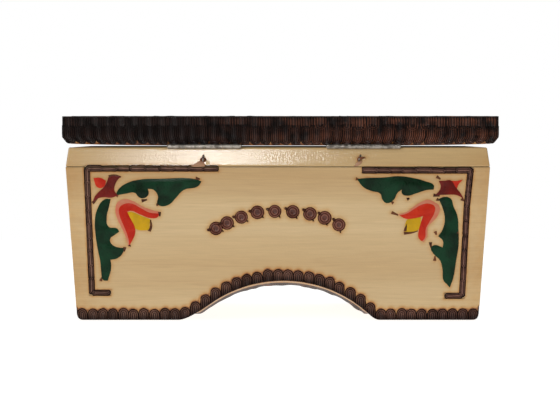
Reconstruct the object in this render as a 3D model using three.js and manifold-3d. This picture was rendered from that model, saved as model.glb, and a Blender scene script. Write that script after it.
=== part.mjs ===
// A hinged wooden keepsake box: four boards with planed, tapering outer faces and sawn arches
// between the feet, a rim of four strips glued on top, a floor board held in grooves, and a thick
// lid board on two small butt hinges, each hinge nailed down with flat-headed brads.
//
// Millimetres, +Z up. The origin is on the ground under the middle of the lid. The hinge side
// faces -Y, +X is to the right of somebody who looks at the hinge side.

import * as THREE from "three";
import { mergeVertices } from "three/addons/utils/BufferGeometryUtils.js";
import Module from "manifold-3d";

const wasm = await Module();
wasm.setup();

// ---------------------------------------------------------------- driving dimensions

const CASE = {
  halfWidth: { foot: 92.6, ridge: 97.3, rim: 96.0 }, // X, outer faces
  halfDepth: { foot: 57.6, ridge: 62.3, rim: 61.0 }, // Y, outer faces
  innerHalfWidth: 87.3, // the inner faces are upright
  innerHalfDepth: 52.3,
  ridge: 70.6, // height of the seam between the walls and the rim strips
  backRim: 79.6, // top of the rim on the hinge side
  frontRim: 80.3, // top of the rim where the lid comes down
  shift: -1.2, // the case sits a little to the left under its lid
};
const GLUE = 0.15; // glue line between two boards
const FLOOR = { bottom: 20, thickness: 4, groove: 3, slack: 0.2 };

// The arch under each wall. The saw leant inwards, so the cut drops towards the inside.
const ARCH = {
  long: { radius: 58, top: 18.2, shift: 2.5 },
  short: { radius: 30, top: 18.2, shift: 0 },
  corner: 3, // rounding where the arch meets the foot
  lean: 0.32, // drop of the cut for each millimetre inwards
};

const LID = {
  halfWidth: 100,
  halfDepth: 63.5,
  bottom: 80.5,
  top: 94.0,
  bevel: { in: 2.5, up: 3.9, endIn: 2.7 }, // along the lower edge; endIn on the two short sides
  lift: { from: 58, by: 0.8 }, // the underside is carved away towards both ends
};

const HINGE = {
  centres: [-33.7, 39.2], // along X, from the middle of the case
  length: 33.6,
  knuckles: 4,
  gap: 0.3, // between neighbouring knuckles
  radius: 1.15,
  bore: 0.68,
  pin: 0.6,
  leaf: 0.4, // sheet thickness
  depth: 9, // from the pin's axis to the leaf's inner edge
  y: -62.2,
};
HINGE.z = (CASE.backRim + LID.bottom) / 2;

const NAIL = { head: 1.2, sink: 0.5, shank: 0.55, length: 8, point: 1.6, play: 0.15 };
// Three brads to a leaf. The middle one stands nearer the edge of the board.
const NAIL_ROW = [
  { x: -11.5, y: 5.4 },
  { x: 0, y: 3.4 },
  { x: 11.5, y: 5.4 },
];
// The middle brad in the case went in crooked: its tip comes out of the rim's outer face, and its
// tilted head is driven deeper, clear of the lid's leaf.
const CROOKED = { out: THREE.MathUtils.degToRad(34), sideways: [0.09, 0.29], deeper: 0.65 };

// ---------------------------------------------------------------- solids

function solidOf(geometry) {
  const bare = geometry.index ? geometry.toNonIndexed() : geometry.clone();
  bare.deleteAttribute("normal");
  bare.deleteAttribute("uv");
  const merged = mergeVertices(bare, 1e-4);
  return new wasm.Manifold(
    new wasm.Mesh({
      numProp: 3,
      vertProperties: merged.attributes.position.array,
      triVerts: new Uint32Array(merged.index.array),
    }),
  );
}

function geometryOf(solid) {
  const mesh = solid.getMesh();
  const indexed = new THREE.BufferGeometry();
  indexed.setAttribute("position", new THREE.BufferAttribute(mesh.vertProperties, 3));
  indexed.setIndex(new THREE.BufferAttribute(mesh.triVerts, 1));
  const faceted = indexed.toNonIndexed();
  faceted.computeVertexNormals();
  return faceted;
}

function block(low, high) {
  const size = high.map((value, i) => value - low[i]);
  const middle = high.map((value, i) => (value + low[i]) / 2);
  return solidOf(new THREE.BoxGeometry(...size).translate(...middle));
}

// A block whose top and bottom rectangles differ, centred on the Z axis.
function taperedBlock(bottom, top) {
  const geometry = new THREE.BoxGeometry(2, 2, 2);
  const position = geometry.attributes.position;
  for (let i = 0; i < position.count; i++) {
    const end = position.getZ(i) > 0 ? top : bottom;
    position.setXYZ(i, position.getX(i) * end.x, position.getY(i) * end.y, end.z);
  }
  return solidOf(geometry);
}

// Extrudes a shape drawn in X and Z along Y, from y = 0 to y = depth.
function extrudeAlongY(shape, depth, curveSegments = 12) {
  const geometry = new THREE.ExtrudeGeometry(shape, { depth, bevelEnabled: false, curveSegments });
  return geometry.rotateX(Math.PI / 2).translate(0, depth, 0);
}

function mesh(name, solid, material) {
  const made = new THREE.Mesh(geometryOf(solid), material);
  made.name = name;
  return made;
}

// ---------------------------------------------------------------- materials

const wood = new THREE.MeshStandardMaterial({ color: 0xc9a56c, roughness: 0.45, metalness: 0 });
const scorched = new THREE.MeshStandardMaterial({ color: 0x2c1a14, roughness: 0.4, metalness: 0 });
const plated = new THREE.MeshStandardMaterial({ color: 0xb9b3a4, roughness: 0.35, metalness: 1 });
const iron = new THREE.MeshStandardMaterial({ color: 0x5c5248, roughness: 0.5, metalness: 1 });

// ---------------------------------------------------------------- brads

function nailProfile(play) {
  const { head, sink, shank, length, point } = NAIL;
  return [
    new THREE.Vector2(0, -length - play),
    new THREE.Vector2(shank + play, -length + point),
    new THREE.Vector2(shank + play, -sink - play),
    new THREE.Vector2(head + play, 0),
    ...(play ? [new THREE.Vector2(head + play, head)] : []),
    new THREE.Vector2(0, play ? head : 0),
  ];
}

// A brad with its head's face at the origin and its point down -Z. With some play it is the
// cutter of its own hole, open above the head.
function nailGeometry(play = 0) {
  return new THREE.LatheGeometry(nailProfile(play), 12).rotateX(Math.PI / 2);
}

// Where the brads of one leaf stand, from the middle of the hinge's pin. side is -1 for the leaf
// on the case, which is nailed downwards, and 1 for the leaf on the lid.
function nailPlaces(side, hinge) {
  const surface = HINGE.z - CASE.backRim - HINGE.leaf;
  return NAIL_ROW.map(({ x, y }, i) => {
    const crooked = side < 0 && i === 1;
    const turn = new THREE.Euler(side > 0 ? Math.PI : 0, 0, 0);
    if (crooked) turn.set(-CROOKED.out, CROOKED.sideways[hinge], 0);
    const place = new THREE.Matrix4().makeRotationFromEuler(turn);
    return place.setPosition(x, y, side * surface - (crooked ? CROOKED.deeper : 0));
  });
}

// The solid that all the brads of one leaf cut away, moved by x, y and z.
function nailHoles(side, hinge, x, y, z) {
  const cutters = nailPlaces(side, hinge).map((place) =>
    solidOf(nailGeometry(NAIL.play).applyMatrix4(place).translate(x, y, z)),
  );
  return wasm.Manifold.union(cutters);
}

// ---------------------------------------------------------------- hinges

function knuckle(index) {
  const { length, knuckles, gap, radius, bore } = HINGE;
  const long = (length - gap * (knuckles - 1)) / knuckles;
  const ring = new THREE.Shape().absarc(0, 0, radius, 0, Math.PI * 2);
  ring.holes.push(new THREE.Path().absarc(0, 0, bore, 0, Math.PI * 2, true));
  const tube = new THREE.ExtrudeGeometry(ring, {
    depth: long,
    bevelEnabled: false,
    curveSegments: 12,
  });
  const start = -length / 2 + index * (long + gap);
  return { solid: solidOf(tube.rotateY(Math.PI / 2).translate(start, 0, 0)), start, long };
}

// One leaf about the pin's axis: a plate, and a tube with a tab for every second knuckle.
function leafSolid(side, hinge) {
  const { length, radius, bore, leaf, depth, gap } = HINGE;
  const outside = side * (HINGE.z - CASE.backRim);
  const [low, high] = [outside, outside - side * leaf].sort((a, b) => a - b);
  const plateEdge = radius + gap;
  let solid = block([-length / 2, plateEdge, low], [length / 2, depth, high]);
  for (let i = side < 0 ? 0 : 1; i < HINGE.knuckles; i += 2) {
    const { solid: tube, start, long } = knuckle(i);
    const tab = block([start, bore + 0.12, low], [start + long, plateEdge + 1, high]);
    solid = solid.add(tab).add(tube);
  }
  return solid.subtract(nailHoles(side, hinge, 0, 0, 0));
}

function makeHinge(label, hinge) {
  const group = new THREE.Group();
  const leaves = { case: -1, lid: 1 };
  for (const [part, side] of Object.entries(leaves)) {
    group.add(mesh(`hinge_${label}_${part}_leaf`, leafSolid(side, hinge), plated));
    nailPlaces(side, hinge).forEach((place, i) => {
      const nail = new THREE.Mesh(nailGeometry(), iron);
      nail.name = `hinge_${label}_${part}_nail_${i + 1}`;
      nail.applyMatrix4(place);
      group.add(nail);
    });
  }
  const pin = new THREE.Mesh(
    new THREE.CylinderGeometry(HINGE.pin, HINGE.pin, HINGE.length + 2 * HINGE.gap, 16),
    iron,
  );
  pin.name = `hinge_${label}_pin`;
  pin.rotation.z = Math.PI / 2;
  group.add(pin);
  group.position.set(HINGE.centres[hinge], HINGE.y, HINGE.z);
  return group;
}

// ---------------------------------------------------------------- case

// The cutter of one arch, for a wall that faces -Y with its outer face near y = -reach.
function archCutter({ radius, top, shift }, reach) {
  const centre = top - radius;
  const corner = ARCH.corner;
  const below = -10;
  // Each corner's circle touches the ground line and the arch from outside it.
  const cornerX = Math.sqrt((radius + corner) ** 2 - (corner - centre) ** 2);
  const turn = Math.atan2(corner - centre, cornerX);
  const shape = new THREE.Shape();
  shape.moveTo(-cornerX, below);
  shape.lineTo(cornerX, below);
  shape.lineTo(cornerX, 0);
  shape.absarc(cornerX, corner, corner, -Math.PI / 2, turn - Math.PI, true);
  shape.absarc(0, centre, radius, turn, Math.PI - turn, false);
  shape.absarc(-cornerX, corner, corner, -turn, -Math.PI / 2, true);
  shape.lineTo(-cornerX, below);

  const depth = 30;
  const geometry = extrudeAlongY(shape, depth, 16).translate(shift, -reach - 10, 0);
  const position = geometry.attributes.position;
  for (let i = 0; i < position.count; i++) {
    if (position.getZ(i) <= 0) continue; // the ground line stays level
    const inwards = position.getY(i) + reach;
    position.setZ(i, position.getZ(i) - ARCH.lean * inwards);
  }
  return solidOf(geometry);
}

function makeCase() {
  const { halfWidth, halfDepth, innerHalfWidth: inX, innerHalfDepth: inY, ridge } = CASE;
  const group = new THREE.Group();
  const far = 200;
  const wallTop = ridge - GLUE / 2;
  const rimBottom = ridge + GLUE / 2;

  // Each sector of the case: full-width boards at the back and front, short ones between them.
  const sectors = {
    back: block([-far, -far, -far], [far, -inY, far]),
    front: block([-far, inY, -far], [far, far, far]),
    left: block([-far, -inY + GLUE, -far], [-inX, inY - GLUE, far]),
    right: block([inX, -inY + GLUE, -far], [far, inY - GLUE, far]),
  };

  const taper = (z) => (halfWidth.ridge - halfWidth.foot) * (z / ridge);
  const walls = taperedBlock(
    { x: halfWidth.foot, y: halfDepth.foot, z: 0 },
    { x: halfWidth.foot + taper(wallTop), y: halfDepth.foot + taper(wallTop), z: wallTop },
  );
  const board = {
    x: inX + FLOOR.groove,
    y: inY + FLOOR.groove,
    top: FLOOR.bottom + FLOOR.thickness,
  };
  const groove = block([-board.x, -board.y, FLOOR.bottom], [board.x, board.y, board.top]);

  const longArch = archCutter(ARCH.long, halfDepth.foot);
  const shortArch = archCutter(ARCH.short, halfWidth.foot);
  const arches = {
    back: longArch,
    front: longArch.mirror([0, 1, 0]),
    left: shortArch.rotate([0, 0, -90]),
    right: shortArch.rotate([0, 0, 90]),
  };

  for (const [name, sector] of Object.entries(sectors)) {
    const solid = walls.intersect(sector).subtract(groove).subtract(arches[name]);
    group.add(mesh(`${name}_wall`, solid, wood));
  }

  // The rim strips lean inwards. The back one is lower, by the thickness of the hinges.
  const lean = (halfWidth.rim - halfWidth.ridge) / (CASE.backRim - ridge);
  const rimAt = (z) => ({
    x: halfWidth.ridge + lean * (z - ridge),
    y: halfDepth.ridge + lean * (z - ridge),
    z,
  });
  const rim = taperedBlock(rimAt(rimBottom), rimAt(CASE.frontRim));
  const slope = new THREE.Shape();
  slope.moveTo(-inY, CASE.backRim);
  slope.lineTo(inY, CASE.frontRim);
  slope.lineTo(inY, far);
  slope.lineTo(-inY, far);
  const slopeCutter = solidOf(
    new THREE.ExtrudeGeometry(slope, { depth: 2 * far, bevelEnabled: false })
      .rotateX(Math.PI / 2)
      .rotateZ(Math.PI / 2)
      .translate(-far, 0, 0),
  );
  const backCutter = block([-far, -far, CASE.backRim], [far, far, far]);
  const holes = HINGE.centres.map((x, i) => nailHoles(-1, i, x, HINGE.y, HINGE.z));
  const rimCuts = {
    back: wasm.Manifold.union([backCutter, ...holes]),
    front: undefined,
    left: slopeCutter,
    right: slopeCutter,
  };
  for (const [name, sector] of Object.entries(sectors)) {
    const strip = rim.intersect(sector);
    const cut = rimCuts[name];
    group.add(mesh(`${name}_rim`, cut ? strip.subtract(cut) : strip, wood));
  }

  const slack = FLOOR.slack;
  const floor = block(
    [-board.x + slack, -board.y + slack, FLOOR.bottom + slack],
    [board.x - slack, board.y - slack, board.top - slack],
  );
  group.add(mesh("floor_board", floor, wood));

  group.add(makeHinge("left", 0), makeHinge("right", 1));
  group.position.x = CASE.shift;
  return group;
}

// ---------------------------------------------------------------- lid

function makeLid() {
  const { halfWidth, halfDepth, bottom, top, bevel, lift } = LID;
  const edge = { x: halfWidth, y: halfDepth };
  const lower = taperedBlock(
    { x: halfWidth - bevel.endIn, y: halfDepth - bevel.in, z: bottom },
    { ...edge, z: bottom + bevel.up },
  );
  const upper = taperedBlock({ ...edge, z: bottom + bevel.up }, { ...edge, z: top });
  const ends = [-1, 1].map((side) => {
    const carve = new THREE.Shape();
    const over = halfWidth + 1;
    carve.moveTo(side * lift.from, bottom - 1);
    carve.lineTo(side * lift.from, bottom);
    carve.quadraticCurveTo(side * (lift.from + 22), bottom, side * over, bottom + lift.by);
    carve.lineTo(side * over, bottom - 1);
    return solidOf(extrudeAlongY(carve, 4 * halfDepth, 8).translate(0, -2 * halfDepth, 0));
  });
  const holes = HINGE.centres.map((x, i) => nailHoles(1, i, x + CASE.shift, HINGE.y, HINGE.z));
  const board = lower.add(upper).subtract(wasm.Manifold.union([...ends, ...holes]));
  return mesh("lid_board", board, scorched);
}

const keepsakeBox = new THREE.Group();
keepsakeBox.add(makeCase(), makeLid());

export default keepsakeBox;
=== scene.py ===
"""Looks of a hinged keepsake box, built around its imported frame.

Work on the wood is laid out in millimetres on a Face, which knows where a flat side of the box
lies. Every finished piece is a mesh in metres whose place is in its vertices.
"""

import logging
import math
import random
from dataclasses import dataclass, field
from enum import Enum
from functools import partial
from typing import Callable, Iterable, Optional, Sequence

import bmesh
import bpy
from mathutils import Matrix, Vector, kdtree, noise


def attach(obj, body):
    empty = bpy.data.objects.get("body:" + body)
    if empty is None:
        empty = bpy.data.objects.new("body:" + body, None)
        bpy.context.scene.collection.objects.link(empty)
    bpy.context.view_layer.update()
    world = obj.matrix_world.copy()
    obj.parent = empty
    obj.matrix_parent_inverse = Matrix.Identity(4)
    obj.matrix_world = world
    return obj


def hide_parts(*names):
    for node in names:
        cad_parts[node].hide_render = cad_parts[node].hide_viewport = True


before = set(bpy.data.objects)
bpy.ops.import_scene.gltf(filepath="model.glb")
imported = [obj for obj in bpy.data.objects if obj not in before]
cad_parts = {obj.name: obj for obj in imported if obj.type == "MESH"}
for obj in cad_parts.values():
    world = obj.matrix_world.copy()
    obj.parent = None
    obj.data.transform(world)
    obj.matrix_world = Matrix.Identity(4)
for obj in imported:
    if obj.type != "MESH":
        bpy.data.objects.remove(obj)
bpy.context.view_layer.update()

logging.basicConfig(level=logging.INFO, format="%(name)s: %(message)s")
log = logging.getLogger("keepsake_box")

MM = 0.001
X_AXIS, Y_AXIS, Z_AXIS = Vector((1, 0, 0)), Vector((0, 1, 0)), Vector((0, 0, 1))


class Body(Enum):
    """The two bodies that the hinges join."""

    BOX = "box"
    LID = "lid"


# ------------------------------------------------------------------ the frame's own measures


def corners(node: str) -> list[Vector]:
    """The vertices of a CAD node, in millimetres."""
    return [v.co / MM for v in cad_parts[node].data.vertices]


def reach(node: str, direction: Vector, height: Optional[float] = None) -> float:
    """How far a CAD node reaches.

    Args:
        node: The node's name.
        direction: A unit vector to measure along.
        height: Only vertices at this height count, in millimetres. None takes them all.

    Returns:
        The furthest distance along the direction, in millimetres.
    """
    level = 0.1
    points = [p for p in corners(node) if height is None or abs(p.z - height) < level]
    return max(p.dot(direction) for p in points)


# ------------------------------------------------------------------ places on the wood


@dataclass(frozen=True)
class Face:
    """A flat side of the box that work is laid out on.

    u runs to the right of somebody who looks at the face, v up it, and w out of it. All three
    are in millimetres.
    """

    foot: Vector
    along: Vector
    up: Vector
    mirrored: bool = False

    @property
    def out(self) -> Vector:
        """The direction that the face looks in. Mirroring doesn't turn it round."""
        normal = self.along.cross(self.up).normalized()
        return -normal if self.mirrored else normal

    def place(self, u: float, v: float, w: float = 0.0) -> Vector:
        """The point in metres at u, v and w."""
        return (self.foot + self.along * u + self.up * v + self.out * w) * MM

    def patch(self, u: float, v: float, stretch_u: float = 1.0, stretch_v: float = 1.0) -> "Face":
        """A face in the same plane with its own origin, stretched, or mirrored if negative."""
        return Face(
            self.foot + self.along * u + self.up * v,
            self.along * stretch_u,
            self.up * stretch_v,
            self.mirrored != (stretch_u * stretch_v < 0),
        )


@dataclass(frozen=True)
class BentEdge:
    """The lid's edge: a bevel from its lower arris, then an upright band.

    u runs along the edge, v up the surface from the lower arris, and w out of it.
    """

    middle: Vector
    along: Vector
    out: Vector
    half: float
    bevel_in: float
    bevel_up: float
    softness: float = 0.7

    @property
    def bevel(self) -> float:
        """Width of the bevel, along its slope."""
        return math.hypot(self.bevel_in, self.bevel_up)

    def place(self, u: float, v: float, w: float = 0.0) -> Vector:
        """Finds a point on the edge.

        Args:
            u: How far along.
            v: How far up the surface.
            w: How far out.

        Returns:
            The point, in metres.
        """
        low = min(v / self.bevel, 1.0)
        inward = self.bevel_in * (1 - low)
        height = self.bevel_up * low + max(v - self.bevel, 0)
        slope = self.out * self.bevel_up - Z_AXIS * self.bevel_in
        turn = min(max(0.5 + (v - self.bevel) / (2 * self.softness), 0), 1)
        normal = slope.normalized().lerp(self.out, turn).normalized()
        squeeze = (self.half - inward) / self.half
        point = self.middle + self.along * u * squeeze - self.out * inward
        return (point + Z_AXIS * height + normal * w) * MM


class Heat(Enum):
    """Kinds of burning, with the painted shade under the arches and the darkening at a board's ends,
    and how brown they leave the wood and how far, in millimetres.
    """

    STAMP = (0.7, 0.9)
    # Char, and also the painted shade along the arches' soffits.
    CHAR = (1.0, 0.8)
    LINE = (0.4, 1.0)
    # Darker towards a board's ends.
    WARMTH = (0.2, 9.0)


class BurnAndShadeMap:
    """Where heat has touched the wood, where shade is painted under the arches, and where a board's
    ends are darker. Boards read it into an attribute of scorch and painted shade.
    """

    def __init__(self) -> None:
        """Starts with no marks."""
        self.marks: dict[Heat, list[Vector]] = {heat: [] for heat in Heat}
        self.trees: dict[Heat, kdtree.KDTree] = {}

    def add(self, heat: Heat, points: Iterable[Vector]) -> None:
        """Adds marks, in metres."""
        self.marks[heat].extend(points)
        self.trees.pop(heat, None)

    def tree(self, heat: Heat) -> kdtree.KDTree:
        """Finds or makes the search tree of one kind of burning.

        Args:
            heat: The kind.

        Returns:
            Its tree.
        """
        if heat not in self.trees:
            points = self.marks[heat]
            tree = kdtree.KDTree(len(points))
            for index, point in enumerate(points):
                tree.insert(point, index)
            tree.balance()
            self.trees[heat] = tree
        return self.trees[heat]

    def scorch_and_shade(self, point: Vector) -> float:
        """Measures how brown the wood is, painted shade under the arches included.

        Args:
            point: A point on it, in metres.

        Returns:
            From 0, pale, to 1, charred.
        """
        brown = 0.0
        for heat in Heat:
            if not self.marks[heat]:
                continue
            strength, spread = heat.value
            distance = self.tree(heat).find(point)[2] / MM
            brown = max(brown, strength * math.exp(-((distance / spread) ** 1.5)))
        return brown

    def write(self, mesh: bpy.types.Mesh) -> None:
        """Writes the scorch attribute of a board.

        Args:
            mesh: The board's mesh.
        """
        values = [self.scorch_and_shade(v.co) for v in mesh.vertices]
        layer = mesh.attributes.new("scorch_and_shade", "FLOAT", "POINT")
        layer.data.foreach_set("value", values)


burns_and_shade = BurnAndShadeMap()


# ------------------------------------------------------------------ meshes


def show(item: bpy.types.Object) -> None:
    """Puts an object in the scene."""
    bpy.context.scene.collection.objects.link(item)


def loft(name: str, loops: Sequence[Sequence[Vector]]) -> bpy.types.Mesh:
    """Skins closed loops of points into a closed body.

    Args:
        name: The mesh's name.
        loops: Loops with the same number of points, from one end of the body to the other.

    Returns:
        The mesh, with one flat face at each end.
    """
    bm = bmesh.new()
    rings = [[bm.verts.new(point) for point in loop] for loop in loops]
    for ring, following in zip(rings, rings[1:]):
        for i in range(len(ring)):
            j = (i + 1) % len(ring)
            bm.faces.new((ring[i], ring[j], following[j], following[i]))
    bm.faces.new(rings[0])
    bm.faces.new(reversed(rings[-1]))
    return as_mesh(name, bm)


def as_mesh(name: str, bm: bmesh.types.BMesh) -> bpy.types.Mesh:
    """Turns a bmesh into a mesh with its faces pointing out.

    Args:
        name: The mesh's name.
        bm: What it is made from. It is freed.

    Returns:
        The mesh.
    """
    bmesh.ops.recalc_face_normals(bm, faces=bm.faces)
    mesh = bpy.data.meshes.new(name)
    bm.to_mesh(mesh)
    bm.free()
    return mesh


def shaped(mesh: bpy.types.Mesh, *stack: tuple[str, dict]) -> bpy.types.Mesh:
    """Applies a modifier stack to a mesh at its own origin.

    Args:
        mesh: The cage.
        stack: Modifier types, each with its settings.

    Returns:
        The finished mesh. The cage is removed.
    """
    cage = bpy.data.objects.new(mesh.name, mesh)
    show(cage)
    for kind, settings in stack:
        modifier = cage.modifiers.new(kind.title(), kind)
        for key, value in settings.items():
            setattr(modifier, key, value)
    made = bpy.data.meshes.new_from_object(
        cage.evaluated_get(bpy.context.evaluated_depsgraph_get())
    )
    made.name = mesh.name
    bpy.data.objects.remove(cage)
    bpy.data.meshes.remove(mesh)
    return made


def smooth(mesh: bpy.types.Mesh, angle: float = 35.0) -> None:
    """Shades a mesh smooth, with sharp edges over an angle in degrees."""
    mesh.shade_smooth()
    mesh.set_sharp_from_angle(angle=math.radians(angle))


def add_piece(
    name: str,
    mesh: bpy.types.Mesh,
    material: bpy.types.Material,
    body: Body,
    replaces: Sequence[str] = (),
) -> bpy.types.Object:
    """Makes a mesh a piece of the object.

    Args:
        name: The piece's name.
        mesh: Its mesh, in metres and in place.
        material: Its finish.
        body: The body that it rides on.
        replaces: CAD nodes that it stands for.

    Returns:
        The piece's object.
    """
    mesh.name = name
    mesh.materials.clear()
    mesh.materials.append(material)
    piece = bpy.data.objects.new(name, mesh)
    show(piece)
    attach(piece, body.value)
    if replaces:
        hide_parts(*replaces)
    log.info("%s: %d faces on %s", name, len(mesh.polygons), body.value)
    return piece


class Pockets:
    """Everything that is sunk into one face, as one helper to cut out of the boards under it."""

    made: list["Pockets"] = []

    def __init__(self, name: str, face: Face) -> None:
        """Starts with nothing sunk.

        Args:
            name: The helper's name.
            face: The face that is sunk into.
        """
        self.name = name
        self.face = face
        self.bm = bmesh.new()
        self.helper: Optional[bpy.types.Object] = None
        Pockets.made.append(self)

    def sink(self, outline: Sequence[tuple[float, float]], depth: float) -> None:
        """Stands a prism on an outline, from its depth to well above the face.

        Args:
            outline: Its corners on the face.
            depth: How deep it goes.
        """
        clearance = 2.0
        rings = [
            [self.bm.verts.new(self.face.place(u, v, w)) for u, v in outline]
            for w in (-depth, clearance)
        ]
        low, high = rings
        for i in range(len(low)):
            j = (i + 1) % len(low)
            self.bm.faces.new((low[i], low[j], high[j], high[i]))
        self.bm.faces.new(low)
        self.bm.faces.new(reversed(high))

    def close(self) -> None:
        """Makes the helper, if anything is sunk."""
        if self.helper is None and self.bm.verts:
            self.helper = bpy.data.objects.new(self.name, as_mesh(self.name, self.bm))
            show(self.helper)

    def meets(self, mesh: bpy.types.Mesh) -> bool:
        """Compares the helper's box with a mesh's box.

        Args:
            mesh: A board's mesh.

        Returns:
            Whether they overlap.
        """
        if self.helper is None:
            return False
        for i in range(3):
            mine = [v.co[i] for v in self.helper.data.vertices]
            other = [v.co[i] for v in mesh.vertices]
            if min(other) > max(mine) or max(other) < min(mine):
                return False
        return True

    @classmethod
    def remove_all(cls) -> None:
        """Takes every helper out of the scene."""
        for pockets in cls.made:
            if pockets.helper is not None:
                mesh = pockets.helper.data
                bpy.data.objects.remove(pockets.helper)
                bpy.data.meshes.remove(mesh)
        cls.made.clear()


def worked(mesh: bpy.types.Mesh, edge: float) -> bpy.types.Mesh:
    """Rounds a board's edges, sinks every pocket that meets it, and writes its scorch attribute.

    Args:
        mesh: The board as sawn.
        edge: Width of the rounding, in millimetres.

    Returns:
        The finished board.
    """
    rounding = {
        "width": edge * MM,
        "segments": 2,
        "limit_method": "ANGLE",
        "angle_limit": math.radians(35),
    }
    stack = [("BEVEL", rounding)]
    for pockets in Pockets.made:
        pockets.close()
        if pockets.meets(mesh):
            sink = {"operation": "DIFFERENCE", "solver": "EXACT", "object": pockets.helper}
            stack.append(("BOOLEAN", sink))
    made = shaped(mesh, *stack)
    if not made.polygons:
        raise RuntimeError(f"{mesh.name} has lost its faces")
    burns_and_shade.write(made)
    smooth(made)
    return made


# ------------------------------------------------------------------ burning tools


class Form(Enum):
    """What a burning tool's tip leaves behind."""

    ARCH = "arch"
    RING = "ring"
    LINK = "link"


@dataclass(frozen=True)
class Stamp:
    """A burning tool's tip.

    The profile runs from the rim to the middle, as (radius, height) pairs in millimetres. An arch
    has a leg on each side, with a row of vertices at each distance in legs. A link has one
    straight stretch as long as its leg.
    """

    form: Form
    profile: tuple[tuple[float, float], ...]
    legs: tuple[float, ...] = ()
    steps: int = 6
    depth: float = 0.62

    @property
    def radius(self) -> float:
        """The outer radius."""
        return self.profile[0][0]

    def turned(self) -> bpy.types.Mesh:
        """Turns the profile round its middle: once for a ring, and else a half turn.

        Returns:
            The turned surface.
        """
        profile = bpy.data.meshes.new("tip_profile")
        points = [(r, 0.0, h) for r, h in self.profile]
        edges = [(i, i + 1) for i in range(len(points) - 1)]
        profile.from_pydata(points, edges, [])
        screw = {
            "axis": "Z",
            "angle": math.tau if self.form is Form.RING else math.pi,
            "steps": self.steps,
            "render_steps": self.steps,
            "use_merge_vertices": True,
            "merge_threshold": 0.01,
        }
        return shaped(profile, ("SCREW", screw))

    def mesh(self) -> bpy.types.Mesh:
        """Makes the closed body of one stamp at its own origin.

        Returns:
            Its mesh. Its crest attribute is 1 on the ridges and 0 in the grooves.
        """
        bm = bmesh.new()
        bm.from_mesh(self.turned())
        tiny = 1e-3
        done = 0.0
        for leg in self.legs:
            ends = [e for e in bm.edges if all(v.co.y < tiny - done for v in e.verts)]
            pulled = bmesh.ops.extrude_edge_only(bm, edges=ends)["geom"]
            for vertex in (g for g in pulled if isinstance(g, bmesh.types.BMVert)):
                vertex.co.y = -leg
            done = leg
        if self.form is Form.LINK:
            middle = Vector((0, -done / 2, 0))
            copied = bmesh.ops.duplicate(bm, geom=bm.verts[:] + bm.edges[:] + bm.faces[:])["geom"]
            turn = Matrix.Rotation(math.pi, 3, "Z")
            other = [g for g in copied if isinstance(g, bmesh.types.BMVert)]
            bmesh.ops.rotate(bm, cent=middle, matrix=turn, verts=other)
            doubled = [f for f in copied if isinstance(f, bmesh.types.BMFace)]
            legs = [f for f in doubled if all(-done - tiny < v.co.y < tiny for v in f.verts)]
            bmesh.ops.delete(bm, geom=legs, context="FACES")
        bmesh.ops.remove_doubles(bm, verts=bm.verts, dist=tiny)
        heights = [h for _, h in self.profile]
        low, high = min(heights), max(heights)
        crest = bm.verts.layers.float.new("crest")
        for vertex in bm.verts:
            vertex[crest] = (vertex.co.z - low) / (high - low)
        rim = [e for e in bm.edges if e.is_boundary]
        for vertex in {v for e in rim for v in e.verts}:
            vertex[crest] = 0.0
        skirt = bmesh.ops.extrude_edge_only(bm, edges=rim)["geom"]
        for vertex in (g for g in skirt if isinstance(g, bmesh.types.BMVert)):
            vertex.co.z = -self.depth
        bmesh.ops.contextual_create(bm, geom=[e for e in bm.edges if e.is_boundary])
        return as_mesh("tip", bm)


class BurnedWork:
    """Stamps burned one after another into a face, joined into one piece."""

    def __init__(
        self, face: Face | BentEdge, seed: int, half: Optional[Callable[[float], float]] = None
    ) -> None:
        """Starts empty.

        Args:
            face: The face that is burned.
            seed: Chooses the run of unsteadiness.
            half: The work's half length at each v. None lets it run on.
        """
        self.face = face
        self.bm = bmesh.new()
        self.hand = random.Random(seed)
        self.half = half

    def press(
        self,
        tip: bpy.types.Mesh,
        u: float,
        v: float,
        turn: float = 0.0,
        size: tuple[float, float] = (1.0, 1.0),
        lift: float = 0.0,
        end: Optional[Callable[[float], float]] = None,
        end_beyond: float = 0.0,
    ) -> None:
        """Presses the tip into the wood once.

        Args:
            tip: The stamp's mesh.
            u: Where its middle goes, along the face.
            v: Where its middle goes, up the face.
            turn: How far it is turned, in radians.
            size: Its stretch across and along.
            lift: How much higher it lies than its profile says.
            end: The height of the edge that cuts its legs off, at each u.
            end_beyond: Vertices further down the legs than this are moved to that edge.
        """
        first = len(self.bm.verts)
        self.bm.from_mesh(tip)
        self.bm.verts.ensure_lookup_table()
        cos, sin = math.cos(turn), math.sin(turn)
        for vertex in self.bm.verts[first:]:
            x, y = vertex.co.x * size[0], vertex.co.y * size[1]
            across, up = x * cos - y * sin, x * sin + y * cos
            place_u, place_v = u + across, v + up
            if end is not None and vertex.co.y < -end_beyond:
                place_v = end(place_u)
            if self.half is not None:
                limit = self.half(place_v)
                place_u = min(max(place_u, -limit), limit)
            vertex.co = self.face.place(place_u, place_v, vertex.co.z + lift)

    def marks(self) -> list[Vector]:
        """Every vertex that shows, for the burn map."""
        return [v.co.copy() for v in self.bm.verts]

    def mesh(self, name: str) -> bpy.types.Mesh:
        """Finishes the work.

        Args:
            name: The mesh's name.

        Returns:
            Its mesh.
        """
        mesh = as_mesh(name, self.bm)
        smooth(mesh, 60)
        return mesh


ARCH_PROFILE = (
    (2.45, -0.24), (2.2, -0.45), (1.8, -0.02), (1.38, -0.45),
    (0.96, -0.04), (0.5, -0.43), (0.0, -0.06),
)
RING_PROFILE = (
    (3.0, 0.03), (2.7, -0.4), (2.26, 0.0), (1.8, -0.42),
    (1.3, -0.04), (0.86, -0.36), (0.0, -0.3),
)
LINK_PROFILE = ((1.6, -0.02), (1.25, -0.4), (0.86, -0.1), (0.5, -0.36), (0.2, -0.02), (0.0, 0.04))

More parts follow.
